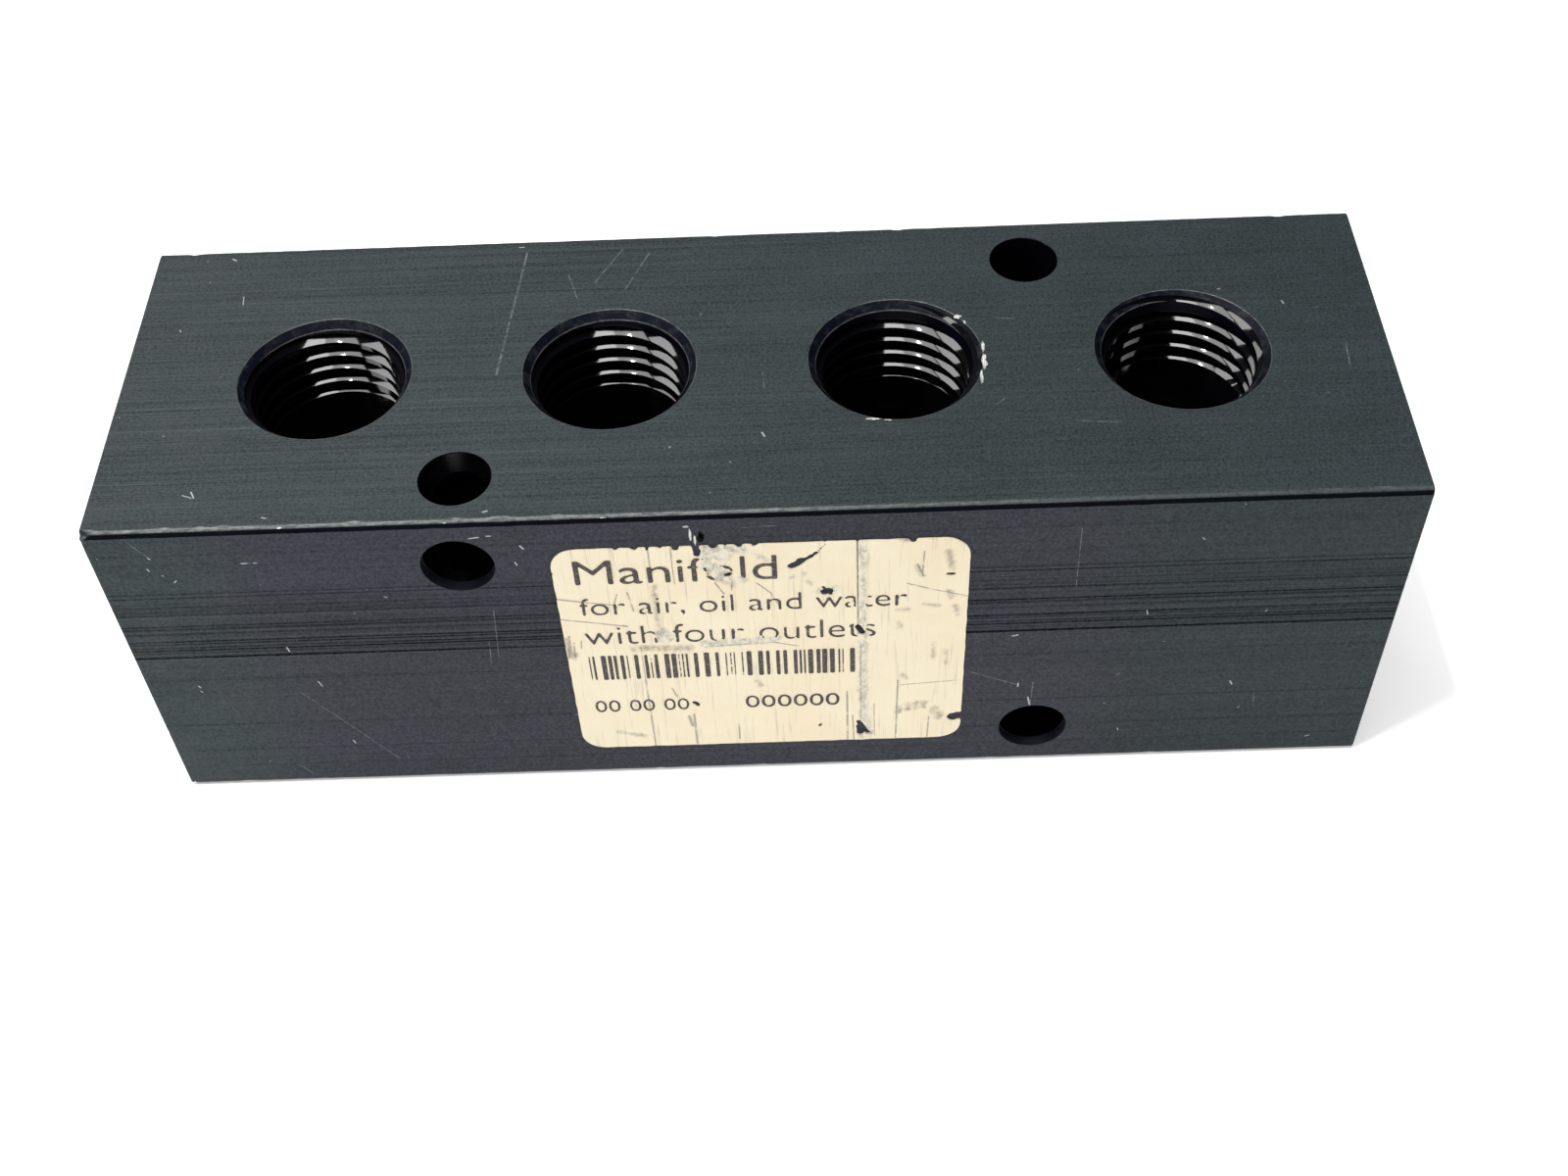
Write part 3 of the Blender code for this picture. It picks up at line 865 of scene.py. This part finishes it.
# The label's wear as straight strokes: where each starts and ends, right of and above the
# label's centre, and its half width, in millimetres.
TEARS = (
    (-4.75, 13.2, -4.65, 11.45, 0.28), (-10.9, 12.9, -10.7, 12.3, 0.16), (-9.6, 12.9, -9.3, 12.35, 0.24),
    (-8.3, 12.9, -8.3, 12.0, 0.12), (-7.3, 12.9, -7.4, 12.35, 0.14), (-6.5, 12.9, -6.2, 12.15, 0.26),
    (-5.5, 12.9, -5.7, 12.4, 0.12), (-3.9, 12.9, -3.4, 12.3, 0.30), (-2.6, 12.9, -2.5, 12.4, 0.14),
    (-1.7, 12.9, -1.5, 12.2, 0.20), (-0.5, 12.9, -0.4, 12.3, 0.16), (4.85, 12.15, 4.2, 11.2, 0.07),
    (4.2, 11.2, 2.9, 10.2, 0.18), (3.1, 10.4, 2.3, 9.8, 0.32), (-2.6, 9.1, -2.3, 9.2, 0.22),
    (-4.2, 9.9, -4.0, 9.2, 0.10), (4.75, 6.75, 5.05, 6.85, 0.38), (4.6, 7.3, 5.2, 6.4, 0.12),
    (7.22, 12.9, 7.20, 2.5, 0.035), (7.25, 2.5, 7.55, 1.7, 0.26), (7.25, -9.9, 7.95, -11.4, 0.24),
    (7.35, -10.6, 7.4, -11.4, 0.32), (11.2, 12.9, 11.35, 12.2, 0.25), (14.0, 8.3, 14.5, 8.35, 0.15),
    (14.95, -9.6, 15.3, -9.5, 0.52), (-6.0, -6.6, -5.75, -6.95, 0.20), (4.0, -10.3, 4.15, -10.05, 0.12),
    (15.9, 6.1, 15.85, 5.8, 0.14), (15.9, 5.2, 15.85, 4.8, 0.12), (-15.8, 9.9, -15.6, 9.8, 0.08),
)
# Creases, drawn as dark lines of painted shade.
CREASES = (
    (-15.7, 6.9, -13.9, 6.5, 0.08), (-13.9, 6.5, -11.4, 6.0, 0.05), (-15.7, 4.5, -10.6, 3.4, 0.06),
    (-10.9, 3.5, -10.6, 3.4, 0.10), (-9.73, -3.4, -9.65, -12.3, 0.06), (-9.75, 0.8, -9.73, -3.4, 0.03),
    (-6.2, -8.2, -6.18, -12.3, 0.08), (-6.6, -8.4, -6.4, -9.7, 0.12), (-2.6, -9.6, -2.62, -11.7, 0.06),
    (6.33, -5.8, 6.33, -12.4, 0.07), (6.75, -9.0, 6.85, -12.4, 0.05), (10.4, -4.5, 10.3, -12.3, 0.06),
    (8.5, -7.5, 8.55, -11.8, 0.03), (13.0, -9.5, 12.9, -12.3, 0.05), (12.2, 11.0, 12.1, 8.4, 0.05),
    (11.7, 9.6, 12.2, 8.2, 0.06), (-8.25, 12.3, -8.25, 9.9, 0.05), (-6.6, 12.2, -6.55, 8.2, 0.03),
    (-7.7, -4.6, -7.4, -5.7, 0.06), (-0.35, 8.0, 0.65, 6.8, 0.05), (0.65, 6.8, 1.3, 5.1, 0.03),
    (11.0, 7.4, 13.0, 6.6, 0.06), (13.0, 6.6, 15.6, 5.7, 0.04), (-4.7, 0.6, 0.6, 0.9, 0.04),
    (0.6, 0.9, 2.6, 0.3, 0.05), (7.22, 12.3, 7.25, 1.6, 0.06), (7.45, 0.2, 7.4, -10.0, 0.04),
    (10.7, -5.1, 15.5, -4.7, 0.04), (-15.2, 2.4, -15.3, 0.6, 0.07), (-14.9, 1.6, -15.0, -0.2, 0.05),
    (-14.3, 1.8, -14.4, 0.9, 0.04), (-15.4, 0.8, -15.5, -0.3, 0.06), (-10.2, 7.4, -9.9, 5.2, 0.05),
    (-11.0, 7.2, -11.3, 6.2, 0.05), (-3.5, 8.2, -2.9, 6.9, 0.06), (-2.2, 8.4, -2.3, 7.3, 0.04),
)
STAINS = (
    (-8.2, 8.0, -8.2, 1.6, 0.16), (-10.2, 0.6, -6.0, 0.5, 0.34), (-15.6, 2.0, -15.1, -0.2, 0.30),
    (10.5, -8.7, 10.6, -8.1, 0.24), (11.3, -8.3, 11.2, -7.7, 0.22), (11.95, -8.3, 11.95, -7.6, 0.22),
    (12.55, -8.1, 12.5, -7.6, 0.24), (13.45, -8.6, 13.7, -9.4, 0.42), (14.0, 10.8, 14.3, 9.0, 0.26),
    (10.3, 4.3, 11.1, 4.4, 0.14), (12.3, 4.9, 13.4, 4.7, 0.14), (14.2, 6.3, 14.4, 5.8, 0.26),
    (14.7, 4.6, 14.9, 3.6, 0.16), (10.4, 2.8, 10.5, 2.2, 0.14), (13.2, 0.0, 13.1, -1.9, 0.10),
    (14.1, -0.8, 14.2, -2.4, 0.11), (3.5, 8.0, 3.7, 7.8, 0.14), (-3.2, 8.6, -2.2, 7.8, 0.22),
    (11.7, 9.4, 12.1, 8.2, 0.14), (-12.5, -10.2, -10.4, -10.9, 0.16), (-0.9, -4.0, -0.5, -4.5, 0.16),
    (10.8, -3.8, 11.1, -4.3, 0.12),
)
SCUFFS = (
    (-4.2, 12.0, -1.3, 11.9, 0.42), (-4.3, 11.4, -2.6, 11.1, 0.45), (-4.0, 10.2, -2.8, 9.2, 0.58),
    (-3.2, 8.8, -1.4, 8.5, 0.30), (-7.9, 2.5, -7.8, 1.9, 0.60), (-4.6, 0.9, 0.8, 1.2, 0.42),
    (7.55, 12.2, 7.6, 3.0, 0.26), (7.6, 3.0, 7.65, -12.3, 0.34), (7.8, -9.6, 8.0, -11.8, 0.42),
    (-1.0, 11.6, 0.6, 10.6, 0.16), (3.2, 8.9, 2.2, 8.6, 0.16), (10.3, 12.6, 11.0, 12.3, 0.20),
    (4.3, 6.9, 5.5, 7.1, 0.34),
)
# Grid cells and reliefs of the label, in millimetres.
CELL = 0.16
PRINT_CELL = 0.075
RELIEF = 0.07
INK_FRONT = 0.028
INK_BACK = 0.014
PAPER_SHARP_ANGLE = math.radians(50)


def drift(u, v, scale, seed):
    """Smooth noise between about -1 and 1 over the label."""
    points = np.stack([u * scale, v * scale, np.full_like(u, seed)], axis=-1).reshape(-1, 3)
    return np.array([noise.noise(point) for point in points]).reshape(u.shape)


def stroke_gap(u, v, stroke):
    """Distance in millimetres outside a stroke with round ends; negative inside."""
    u0, v0, u1, v1, width = stroke
    du, dv = u1 - u0, v1 - v0
    share = np.clip(((u - u0) * du + (v - v0) * dv) / (du * du + dv * dv), 0, 1)
    return np.hypot(u - u0 - share * du, v - v0 - share * dv) - width


def soft_mask(u, v, strokes, softness, ragged, seed):
    """1 well inside any stroke, 0 outside, with an uneven border."""
    border = ragged * drift(u, v, 2.2, seed) + 0.6 * ragged * drift(u, v, 5.5, seed + 4)
    gap = np.min([stroke_gap(u, v, stroke) for stroke in strokes], axis=0)
    return np.clip(0.5 - (gap + border) / softness, 0, 1)


def paper_field(u, v):
    """Millimetres inside the label's torn outline."""
    half_u, half_v = LABEL_WIDTH / 2 / MM, LABEL_HEIGHT / 2 / MM
    corner = LABEL_CORNER / MM
    over_u, over_v = np.abs(u) - half_u + corner, np.abs(v) - half_v + corner
    outside = np.hypot(np.maximum(over_u, 0), np.maximum(over_v, 0)) - corner
    inside = -(outside + np.minimum(np.maximum(over_u, over_v), 0))
    inside = inside - 0.03 + 0.05 * drift(u, v, 0.9, 3)
    uneven = 0.10 * drift(u, v, 2.5, 7) + 0.06 * drift(u, v, 6, 8)
    for tear in TEARS:
        inside = np.minimum(inside, stroke_gap(u, v, tear) + uneven * min(1, tear[-1] * 8))
    return inside


def paper_lift(u, v):
    """How far the paper's face stands proud of its flat place, in millimetres."""
    crumpled = soft_mask(u, v, SCUFFS, 0.35, 0.15, 12)
    lumps = 0.5 + 0.9 * drift(u, v, 2.6, 15) + 0.5 * drift(u, v, 5.5, 16)
    wave = 0.012 * drift(u, v, 0.35, 19)
    return wave + RELIEF * crumpled * lumps


def walk_cells(field):
    """Marching squares: polygons of corner and crossing keys round the places above zero."""
    inside = field > 0
    busy = inside[:-1, :-1] | inside[1:, :-1] | inside[1:, 1:] | inside[:-1, 1:]
    for row, column in zip(*np.nonzero(busy)):
        ring = ((row, column), (row, column + 1), (row + 1, column + 1), (row + 1, column))
        polygon = []
        for here, after in zip(ring, ring[1:] + ring[:1]):
            if inside[here]:
                polygon.append((here, here))
            if inside[here] != inside[after]:
                polygon.append((min(here, after), max(here, after)))
        yield polygon


def film_mesh(name, field, low, cell, front, back, material):
    """A thin closed sheet over the places where a field sampled on a square grid is above zero."""
    bm = bmesh.new()
    made = {}

    def pair(key):
        """Front and back vertices on a grid corner, or where the outline crosses a grid line."""
        if key not in made:
            start, end = key
            share = 0.0
            if start != end:
                share = field[start] / (field[start] - field[end])
                share = min(max(share, 0.04), 0.96)
            u = low[0] + cell * (start[1] + (end[1] - start[1]) * share)
            v = low[1] + cell * (start[0] + (end[0] - start[0]) * share)
            x, z = LABEL_CENTRE.x + u * MM, LABEL_CENTRE.z + v * MM
            made[key] = (bm.verts.new((x, -HALF, z)), bm.verts.new((x, -HALF, z)), (u, v))
        return made[key]

    edges = {}
    for polygon in walk_cells(field):
        corners = [pair(key) for key in polygon]
        bm.faces.new([corner[0] for corner in corners])
        bm.faces.new([corner[1] for corner in reversed(corners)])
        for here, after in zip(polygon, polygon[1:] + polygon[:1]):
            if (after, here) in edges:
                del edges[after, here]
            else:
                edges[here, after] = True
    for here, after in edges:
        (front_here, back_here, _), (front_after, back_after, _) = made[here], made[after]
        bm.faces.new((front_after, front_here, back_here, back_after))
    u, v = np.array([corner[2] for corner in made.values()]).T
    for corner, front_reach, back_reach in zip(made.values(), front(u, v), back(u, v)):
        corner[0].co.y = -HALF - front_reach * MM
        corner[1].co.y = -HALF - back_reach * MM
    return closed_mesh(name, bm, material)


def grid_of(low, high, cell):
    """Places of a square grid over the label."""
    u, v = np.meshgrid(np.arange(low[0], high[0] + cell, cell), np.arange(low[1], high[1] + cell, cell))
    return u, v


def on_label(x, z):
    """A place on the label's face, given in millimetres from the label's centre."""
    return LABEL_CENTRE.x / MM + x, FRONT - FILM / MM, LABEL_CENTRE.z / MM + z


def paper():
    """Cream label stock, browned, scuffed to pale fibres mottled with painted shade and highlight, and
    creased, with painted shade along the creases.
    """
    g = Finish("aged_paper")
    stain = g.add("ShaderNodeAttribute", attribute_name="stain").outputs["Fac"]
    scuff = g.add("ShaderNodeAttribute", attribute_name="scuff").outputs["Fac"]
    blotch = g.noise((0.16, 0.16, 0.16), detail=4, roughness=0.6)
    fibre = g.noise((5, 5, 2.2), detail=3, roughness=0.7, offset=(3, 1, 2))
    upright = g.noise((3.2, 1, 0.12), detail=3, roughness=0.7, offset=(1, 4, 9))
    colour = g.mix(g.band(blotch, 0.3, 0.72), (0.96, 0.86, 0.64), (0.93, 0.80, 0.57))
    colour = g.mix(g.times(g.band(upright, 0.54, 0.70), 0.45), colour, (0.50, 0.44, 0.36))
    colour = g.mix(g.times(g.band(fibre, 0.5, 0.8), 0.25), colour, (0.97, 0.93, 0.84))
    mottle = g.noise((1.5, 1.5, 0.9), detail=5, roughness=0.72, offset=(7, 7, 7))
    brown = g.mix(g.band(mottle, 0.35, 0.65), (0.22, 0.18, 0.14), (0.52, 0.44, 0.33))
    colour = g.mix(g.times(stain, g.band(mottle, 0.70, 0.35, 0.30, 0.75)), colour, brown)
    # Scuffs: torn fibres mottled from dark grey to pale, partly their own colour and partly painted shade
    # and highlight of the crumpled paper.
    scuff_fibres_and_shade = g.mix(g.band(mottle, 0.34, 0.60), (0.29, 0.285, 0.27), (0.86, 0.80, 0.67))
    colour = g.mix(g.times(scuff, g.band(fibre, 0.15, 0.45, 0.35, 0.8)), colour, scuff_fibres_and_shade)
    # Painted shade: dark lines along the creases, standing in for the shadow in the folds, with a small
    # dent in the bump.
    crease_relief_and_shade = g.any_of([
        g.line_mask(on_label(x0, z0), on_label(x1, z1), width * 1.7)
        for x0, z0, x1, z1, width in CREASES
    ])
    broken = g.band(g.noise((1.3, 1.3, 1.3), detail=3, roughness=0.7, offset=(9, 2, 2)), 0.28, 0.50, 0.15)
    crease_relief_and_shade = g.times(crease_relief_and_shade, broken)
    colour = g.mix(g.times(crease_relief_and_shade, 0.6), colour, (0.14, 0.13, 0.125))
    normal = g.bump(fibre, 0.012)
    normal = g.bump(g.times(crease_relief_and_shade, -1), 0.03, normal)
    normal = g.bump(upright, 0.02, normal)
    return g.finish(colour, g.plus(0.5, g.times(fibre, 0.2)), 0.0, normal, 0.35)


def set_attribute(mesh, name, values):
    """A value at each vertex that a material can read."""
    attribute = mesh.attributes.new(name, "FLOAT", "POINT")
    attribute.data.foreach_set("value", values.astype(np.float32))


def place_on_label(obj):
    """Ties a piece of the label to the frame."""
    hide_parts("label")
    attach(obj, "root")


def add_label():
    """The paper, with its torn outline and crumpled surface."""
    low = (-LABEL_WIDTH / 2 / MM - CELL, -LABEL_HEIGHT / 2 / MM - CELL)
    u, v = grid_of(low, (-low[0], -low[1]), CELL)
    field = paper_field(u, v)
    mesh = film_mesh(
        "paper_label", field, low, CELL,
        lambda u, v: FILM / MM + paper_lift(u, v),
        lambda u, v: np.full_like(u, FILM_GAP / MM),
        paper(),
    )
    places = np.array([vert.co for vert in mesh.vertices]) / MM
    u, v = places[:, 0] - LABEL_CENTRE.x / MM, places[:, 2] - LABEL_CENTRE.z / MM
    set_attribute(mesh, "stain", soft_mask(u, v, STAINS, 0.30, 0.20, 21))
    set_attribute(mesh, "scuff", soft_mask(u, v, SCUFFS, 0.30, 0.22, 12))
    mesh.shade_smooth()
    mesh.set_sharp_from_angle(angle=PAPER_SHARP_ANGLE)
    place_on_label(add_object("paper_label", mesh))


# ---------------------------------------------------------------- generic print

PRINT_LOW, PRINT_HIGH = (-14.5, -8.2), (11.5, 12.4)
SAMPLES = 3  # Fine samples along a cell's side
FINE = PRINT_CELL / SAMPLES
INK_EDGE = 0.44
INK_WEAR = 0.30
# Each line of print: words, left end, right end, baseline and capital height in millimetres,
# and how much its letters are thinned.
PRINT_LINES = (
    ("Manifold", -14.0, 1.2, 8.45, 2.72, 0.004),
    ("for air, oil and water", -14.0, 11.0, 4.85, 2.0, 0.010),
    ("with four outlets", -14.0, 8.6, 1.25, 2.25, 0.012),
    ("00 00 00", -14.1, -6.5, -7.45, 1.5, 0.008),
    ("000000", -1.9, 5.7, -7.45, 1.55, 0.004),
)
# Bars: their ends and heights, the narrowest bar, and the widths that bars and gaps take.
BARS = {"left": -14.0, "right": 8.2, "low": -3.2, "high": -0.15, "narrow": 0.10}
BAR_WIDTHS = (1.0, 1.0, 1.4, 2.4, 2.8, 3.8)
GAP_WIDTHS = (1.7, 2.1, 2.9, 5.2)


def text_triangles(words, thinned=0.0):
    """The filled letters of a line as an array of triangles."""
    curve = bpy.data.curves.new("print", "FONT")
    curve.body = words
    curve.offset = -thinned
    curve.resolution_u = 4
    obj = bpy.data.objects.new("print", curve)
    bpy.context.scene.collection.objects.link(obj)
    bpy.context.view_layer.update()
    mesh = obj.evaluated_get(bpy.context.evaluated_depsgraph_get()).to_mesh()
    mesh.calc_loop_triangles()
    points = np.array([vert.co[:2] for vert in mesh.vertices])
    triangles = points[[list(triangle.vertices) for triangle in mesh.loop_triangles]]
    bpy.data.objects.remove(obj)
    bpy.data.curves.remove(curve)
    return triangles


def fill_triangle(ink, triangle):
    """Mark the fine samples whose centres a triangle covers."""
    columns, rows = (triangle - np.array(PRINT_LOW)).T / FINE
    first_column, last_column = int(columns.min()), int(columns.max()) + 1
    first_row, last_row = int(rows.min()), int(rows.max()) + 1
    x, y = np.meshgrid(np.arange(first_column, last_column) + 0.5, np.arange(first_row, last_row) + 0.5)
    sides = []
    for index in range(3):
        after = (index + 1) % 3
        across, up = columns[after] - columns[index], rows[after] - rows[index]
        sides.append(across * (y - rows[index]) - up * (x - columns[index]))
    covered = (np.min(sides, axis=0) >= 0) | (np.max(sides, axis=0) <= 0)
    ink[first_row:last_row, first_column:last_column] |= covered


def print_ink():
    """The fresh print, sampled more finely than its mesh."""
    columns = round((PRINT_HIGH[0] - PRINT_LOW[0]) / PRINT_CELL) * SAMPLES
    rows = round((PRINT_HIGH[1] - PRINT_LOW[1]) / PRINT_CELL) * SAMPLES
    ink = np.zeros((rows, columns), bool)
    capital = np.ptp(text_triangles("H")[..., 1])
    for words, left, right, baseline, height, thinned in PRINT_LINES:
        triangles = text_triangles(words, thinned)
        start, width = triangles[..., 0].min(), np.ptp(triangles[..., 0])
        triangles[..., 0] = left + (triangles[..., 0] - start) * (right - left) / width
        triangles[..., 1] = baseline + triangles[..., 1] * height / capital
        for triangle in triangles:
            fill_triangle(ink, triangle)
    rng = random.Random(3)
    edge = BARS["left"]
    low, high = (round((BARS[name] - PRINT_LOW[1]) / FINE) for name in ("low", "high"))
    while edge < BARS["right"]:
        bar = BARS["narrow"] * rng.choice(BAR_WIDTHS)
        start, end = (round((place - PRINT_LOW[0]) / FINE) for place in (edge, edge + bar))
        ink[low:high, start:end] = True
        edge += bar + BARS["narrow"] * rng.choice(GAP_WIDTHS)
    return ink


def add_print():
    """Worn generic print as a film of ink just proud of the paper."""
    ink = print_ink().astype(float)
    rows, columns = ink.shape[0] // SAMPLES, ink.shape[1] // SAMPLES
    coverage = ink.reshape(rows, SAMPLES, columns, SAMPLES).mean(axis=(1, 3))
    coverage = np.pad(coverage, 1)
    across = (coverage[:, :-2] + 2 * coverage[:, 1:-1] + coverage[:, 2:]) / 4
    coverage = (across[:-2] + 2 * across[1:-1] + across[2:]) / 4
    low = (PRINT_LOW[0] + PRINT_CELL / 2, PRINT_LOW[1] + PRINT_CELL / 2)
    u, v = np.meshgrid(low[0] + PRINT_CELL * np.arange(columns), low[1] + PRINT_CELL * np.arange(rows))
    rubbed = soft_mask(u, v, SCUFFS, 0.5, 0.3, 33)
    worn = 0.5 * drift(u, v, 0.5, 41) + 0.5 * drift(u, v, 2.4, 43) + 0.35 * drift(u, v, 6, 44)
    worn = np.clip(worn, -1, 1)
    field = coverage - INK_EDGE - INK_WEAR * np.maximum(worn, 0) - rubbed
    field = np.minimum(field, paper_field(u, v) - 0.1)
    field[0], field[-1], field[:, 0], field[:, -1] = -1, -1, -1, -1
    field[field == 0] = -1e-6
    g = Finish("print_ink")
    patchy = g.noise((3.5, 3.5, 3.5), detail=4, roughness=0.75)
    colour = g.mix(g.band(patchy, 0.45, 0.72), (0.045, 0.034, 0.034), (0.22, 0.18, 0.14))
    material = g.finish(colour, 0.55, 0.0, g.bump(patchy, 0.01), 0.3)
    mesh = film_mesh(
        "label_print", field, low, PRINT_CELL,
        lambda u, v: FILM / MM + paper_lift(u, v) + INK_FRONT,
        lambda u, v: FILM / MM + paper_lift(u, v) + INK_BACK,
        material,
    )
    place_on_label(add_object("label_print", mesh))


# ---------------------------------------------------------------- staging


def add_stage():
    """A white floor that glows weakly, so that shadows on it stay faint."""
    g = Finish("white_floor")
    soft = g.noise((0.002, 0.002, 0.002), detail=1)
    colour = g.mix(g.times(soft, 0.03), (0.93, 0.93, 0.93), (0.88, 0.88, 0.88))
    material = g.finish(colour, 0.6, 0.0)
    g.shader.inputs["Emission Color"].default_value = (1, 1, 1, 1)
    g.shader.inputs["Emission Strength"].default_value = FLOOR_GLOW
    bm = bmesh.new()
    bmesh.ops.create_grid(bm, x_segments=2, y_segments=2, size=FLOOR_HALF)
    mesh = bpy.data.meshes.new("floor")
    bm.to_mesh(mesh)
    bm.free()
    mesh.materials.append(material)
    add_object("floor", mesh)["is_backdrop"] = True


def aimed_matrix(place, backwards):
    """A frame at a place whose -Z looks away from a direction, with X kept level."""
    back = Vector(backwards).normalized()
    right = Vector((1, 0, 0))
    right = (right - back * right.dot(back)).normalized()
    return Matrix.Translation(place) @ Matrix((right, back.cross(right), back)).transposed().to_4x4()


def add_light(name, direction, distance, size, radiance):
    """A rectangular softbox looking at the bar's middle; its first side is the one nearest +X."""
    light = bpy.data.lights.new(name, "AREA")
    light.shape = "RECTANGLE"
    light.size, light.size_y = size
    light.energy = radiance * math.pi * size[0] * size[1]
    obj = bpy.data.objects.new(name, light)
    bpy.context.scene.collection.objects.link(obj)
    middle = Vector((0, 0, HALF))
    obj.matrix_world = aimed_matrix(middle + Vector(direction).normalized() * distance, direction)


def add_world():
    """Dim overhead, bright near the horizon, brighter behind to the left, and pale to the camera."""
    world = bpy.data.worlds.new("studio")
    bpy.context.scene.world = world
    g = Graph(world, "Generated")
    parts = g.add("ShaderNodeSeparateXYZ")
    g.feed(parts.inputs[0], g.place)
    horizon = g.band(parts.outputs["Z"], 0.25, 0.60, HORIZON_GLOW, OVERHEAD_GLOW)
    side = tuple(Vector((-0.62, 0.50, 0.60)).normalized())
    towards = g.vector("DOT_PRODUCT", g.place, side, output=1)
    glow = g.plus(horizon, g.band(towards, 0.45, 1.0, 0.0, SIDE_GLOW))
    seen = g.times(g.add("ShaderNodeLightPath").outputs["Is Camera Ray"], BACKDROP_GLOW)
    g.feed(g.tree.nodes["Background"].inputs["Strength"], g.math("MAXIMUM", glow, seen))


def add_lights():
    """Softboxes overhead, to the left and behind, one small lamp and a fill from the front."""
    add_light("overhead_panel", (0.075, -0.08, 0.98), 0.8, (0.20, 0.36), PANEL_RADIANCE)
    add_light("overhead_wing", (-0.26, -0.08, 0.98), 0.8, (0.34, 0.36), WING_RADIANCE)
    add_light("left_panel", (-0.62, 0.06, 0.78), 1.0, (0.34, 0.42), LEFT_RADIANCE)
    add_light("back_panel", (-0.36, 0.66, 0.66), 1.0, (0.50, 0.30), BACK_RADIANCE)
    add_light("overhead_lamp", (-0.231, -0.178, 0.955), 0.7, (0.013, 0.03), LAMP_RADIANCE)
    add_light("front_fill", (-0.15, -0.95, 0.30), 1.0, (1.2, 0.45), FRONT_RADIANCE)
    add_world()


def add_camera():
    """The camera, close above the front of the bar."""
    camera = bpy.data.cameras.new("photo_view")
    camera.lens = CAMERA_LENS
    camera.sensor_width = 36
    camera.clip_start = 0.005
    obj = bpy.data.objects.new("photo_view", camera)
    bpy.context.scene.collection.objects.link(obj)
    back = -CAMERA_FORWARD.normalized()
    right = (CAMERA_RIGHT - back * CAMERA_RIGHT.dot(back)).normalized()
    up = back.cross(right)
    turn = Matrix((right, up, back)).transposed()
    obj.matrix_world = Matrix.Translation(CAMERA_PLACE) @ turn.to_4x4()
    bpy.context.scene.camera = obj


machine_bar()
add_label()
add_print()
add_stage()
add_lights()
add_camera()
bpy.context.scene.view_settings.view_transform = "Standard"

boxes = {"cad": CAD_BOX, "visual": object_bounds()}
{name: [list(corner) for corner in box] for name, box in boxes.items()}
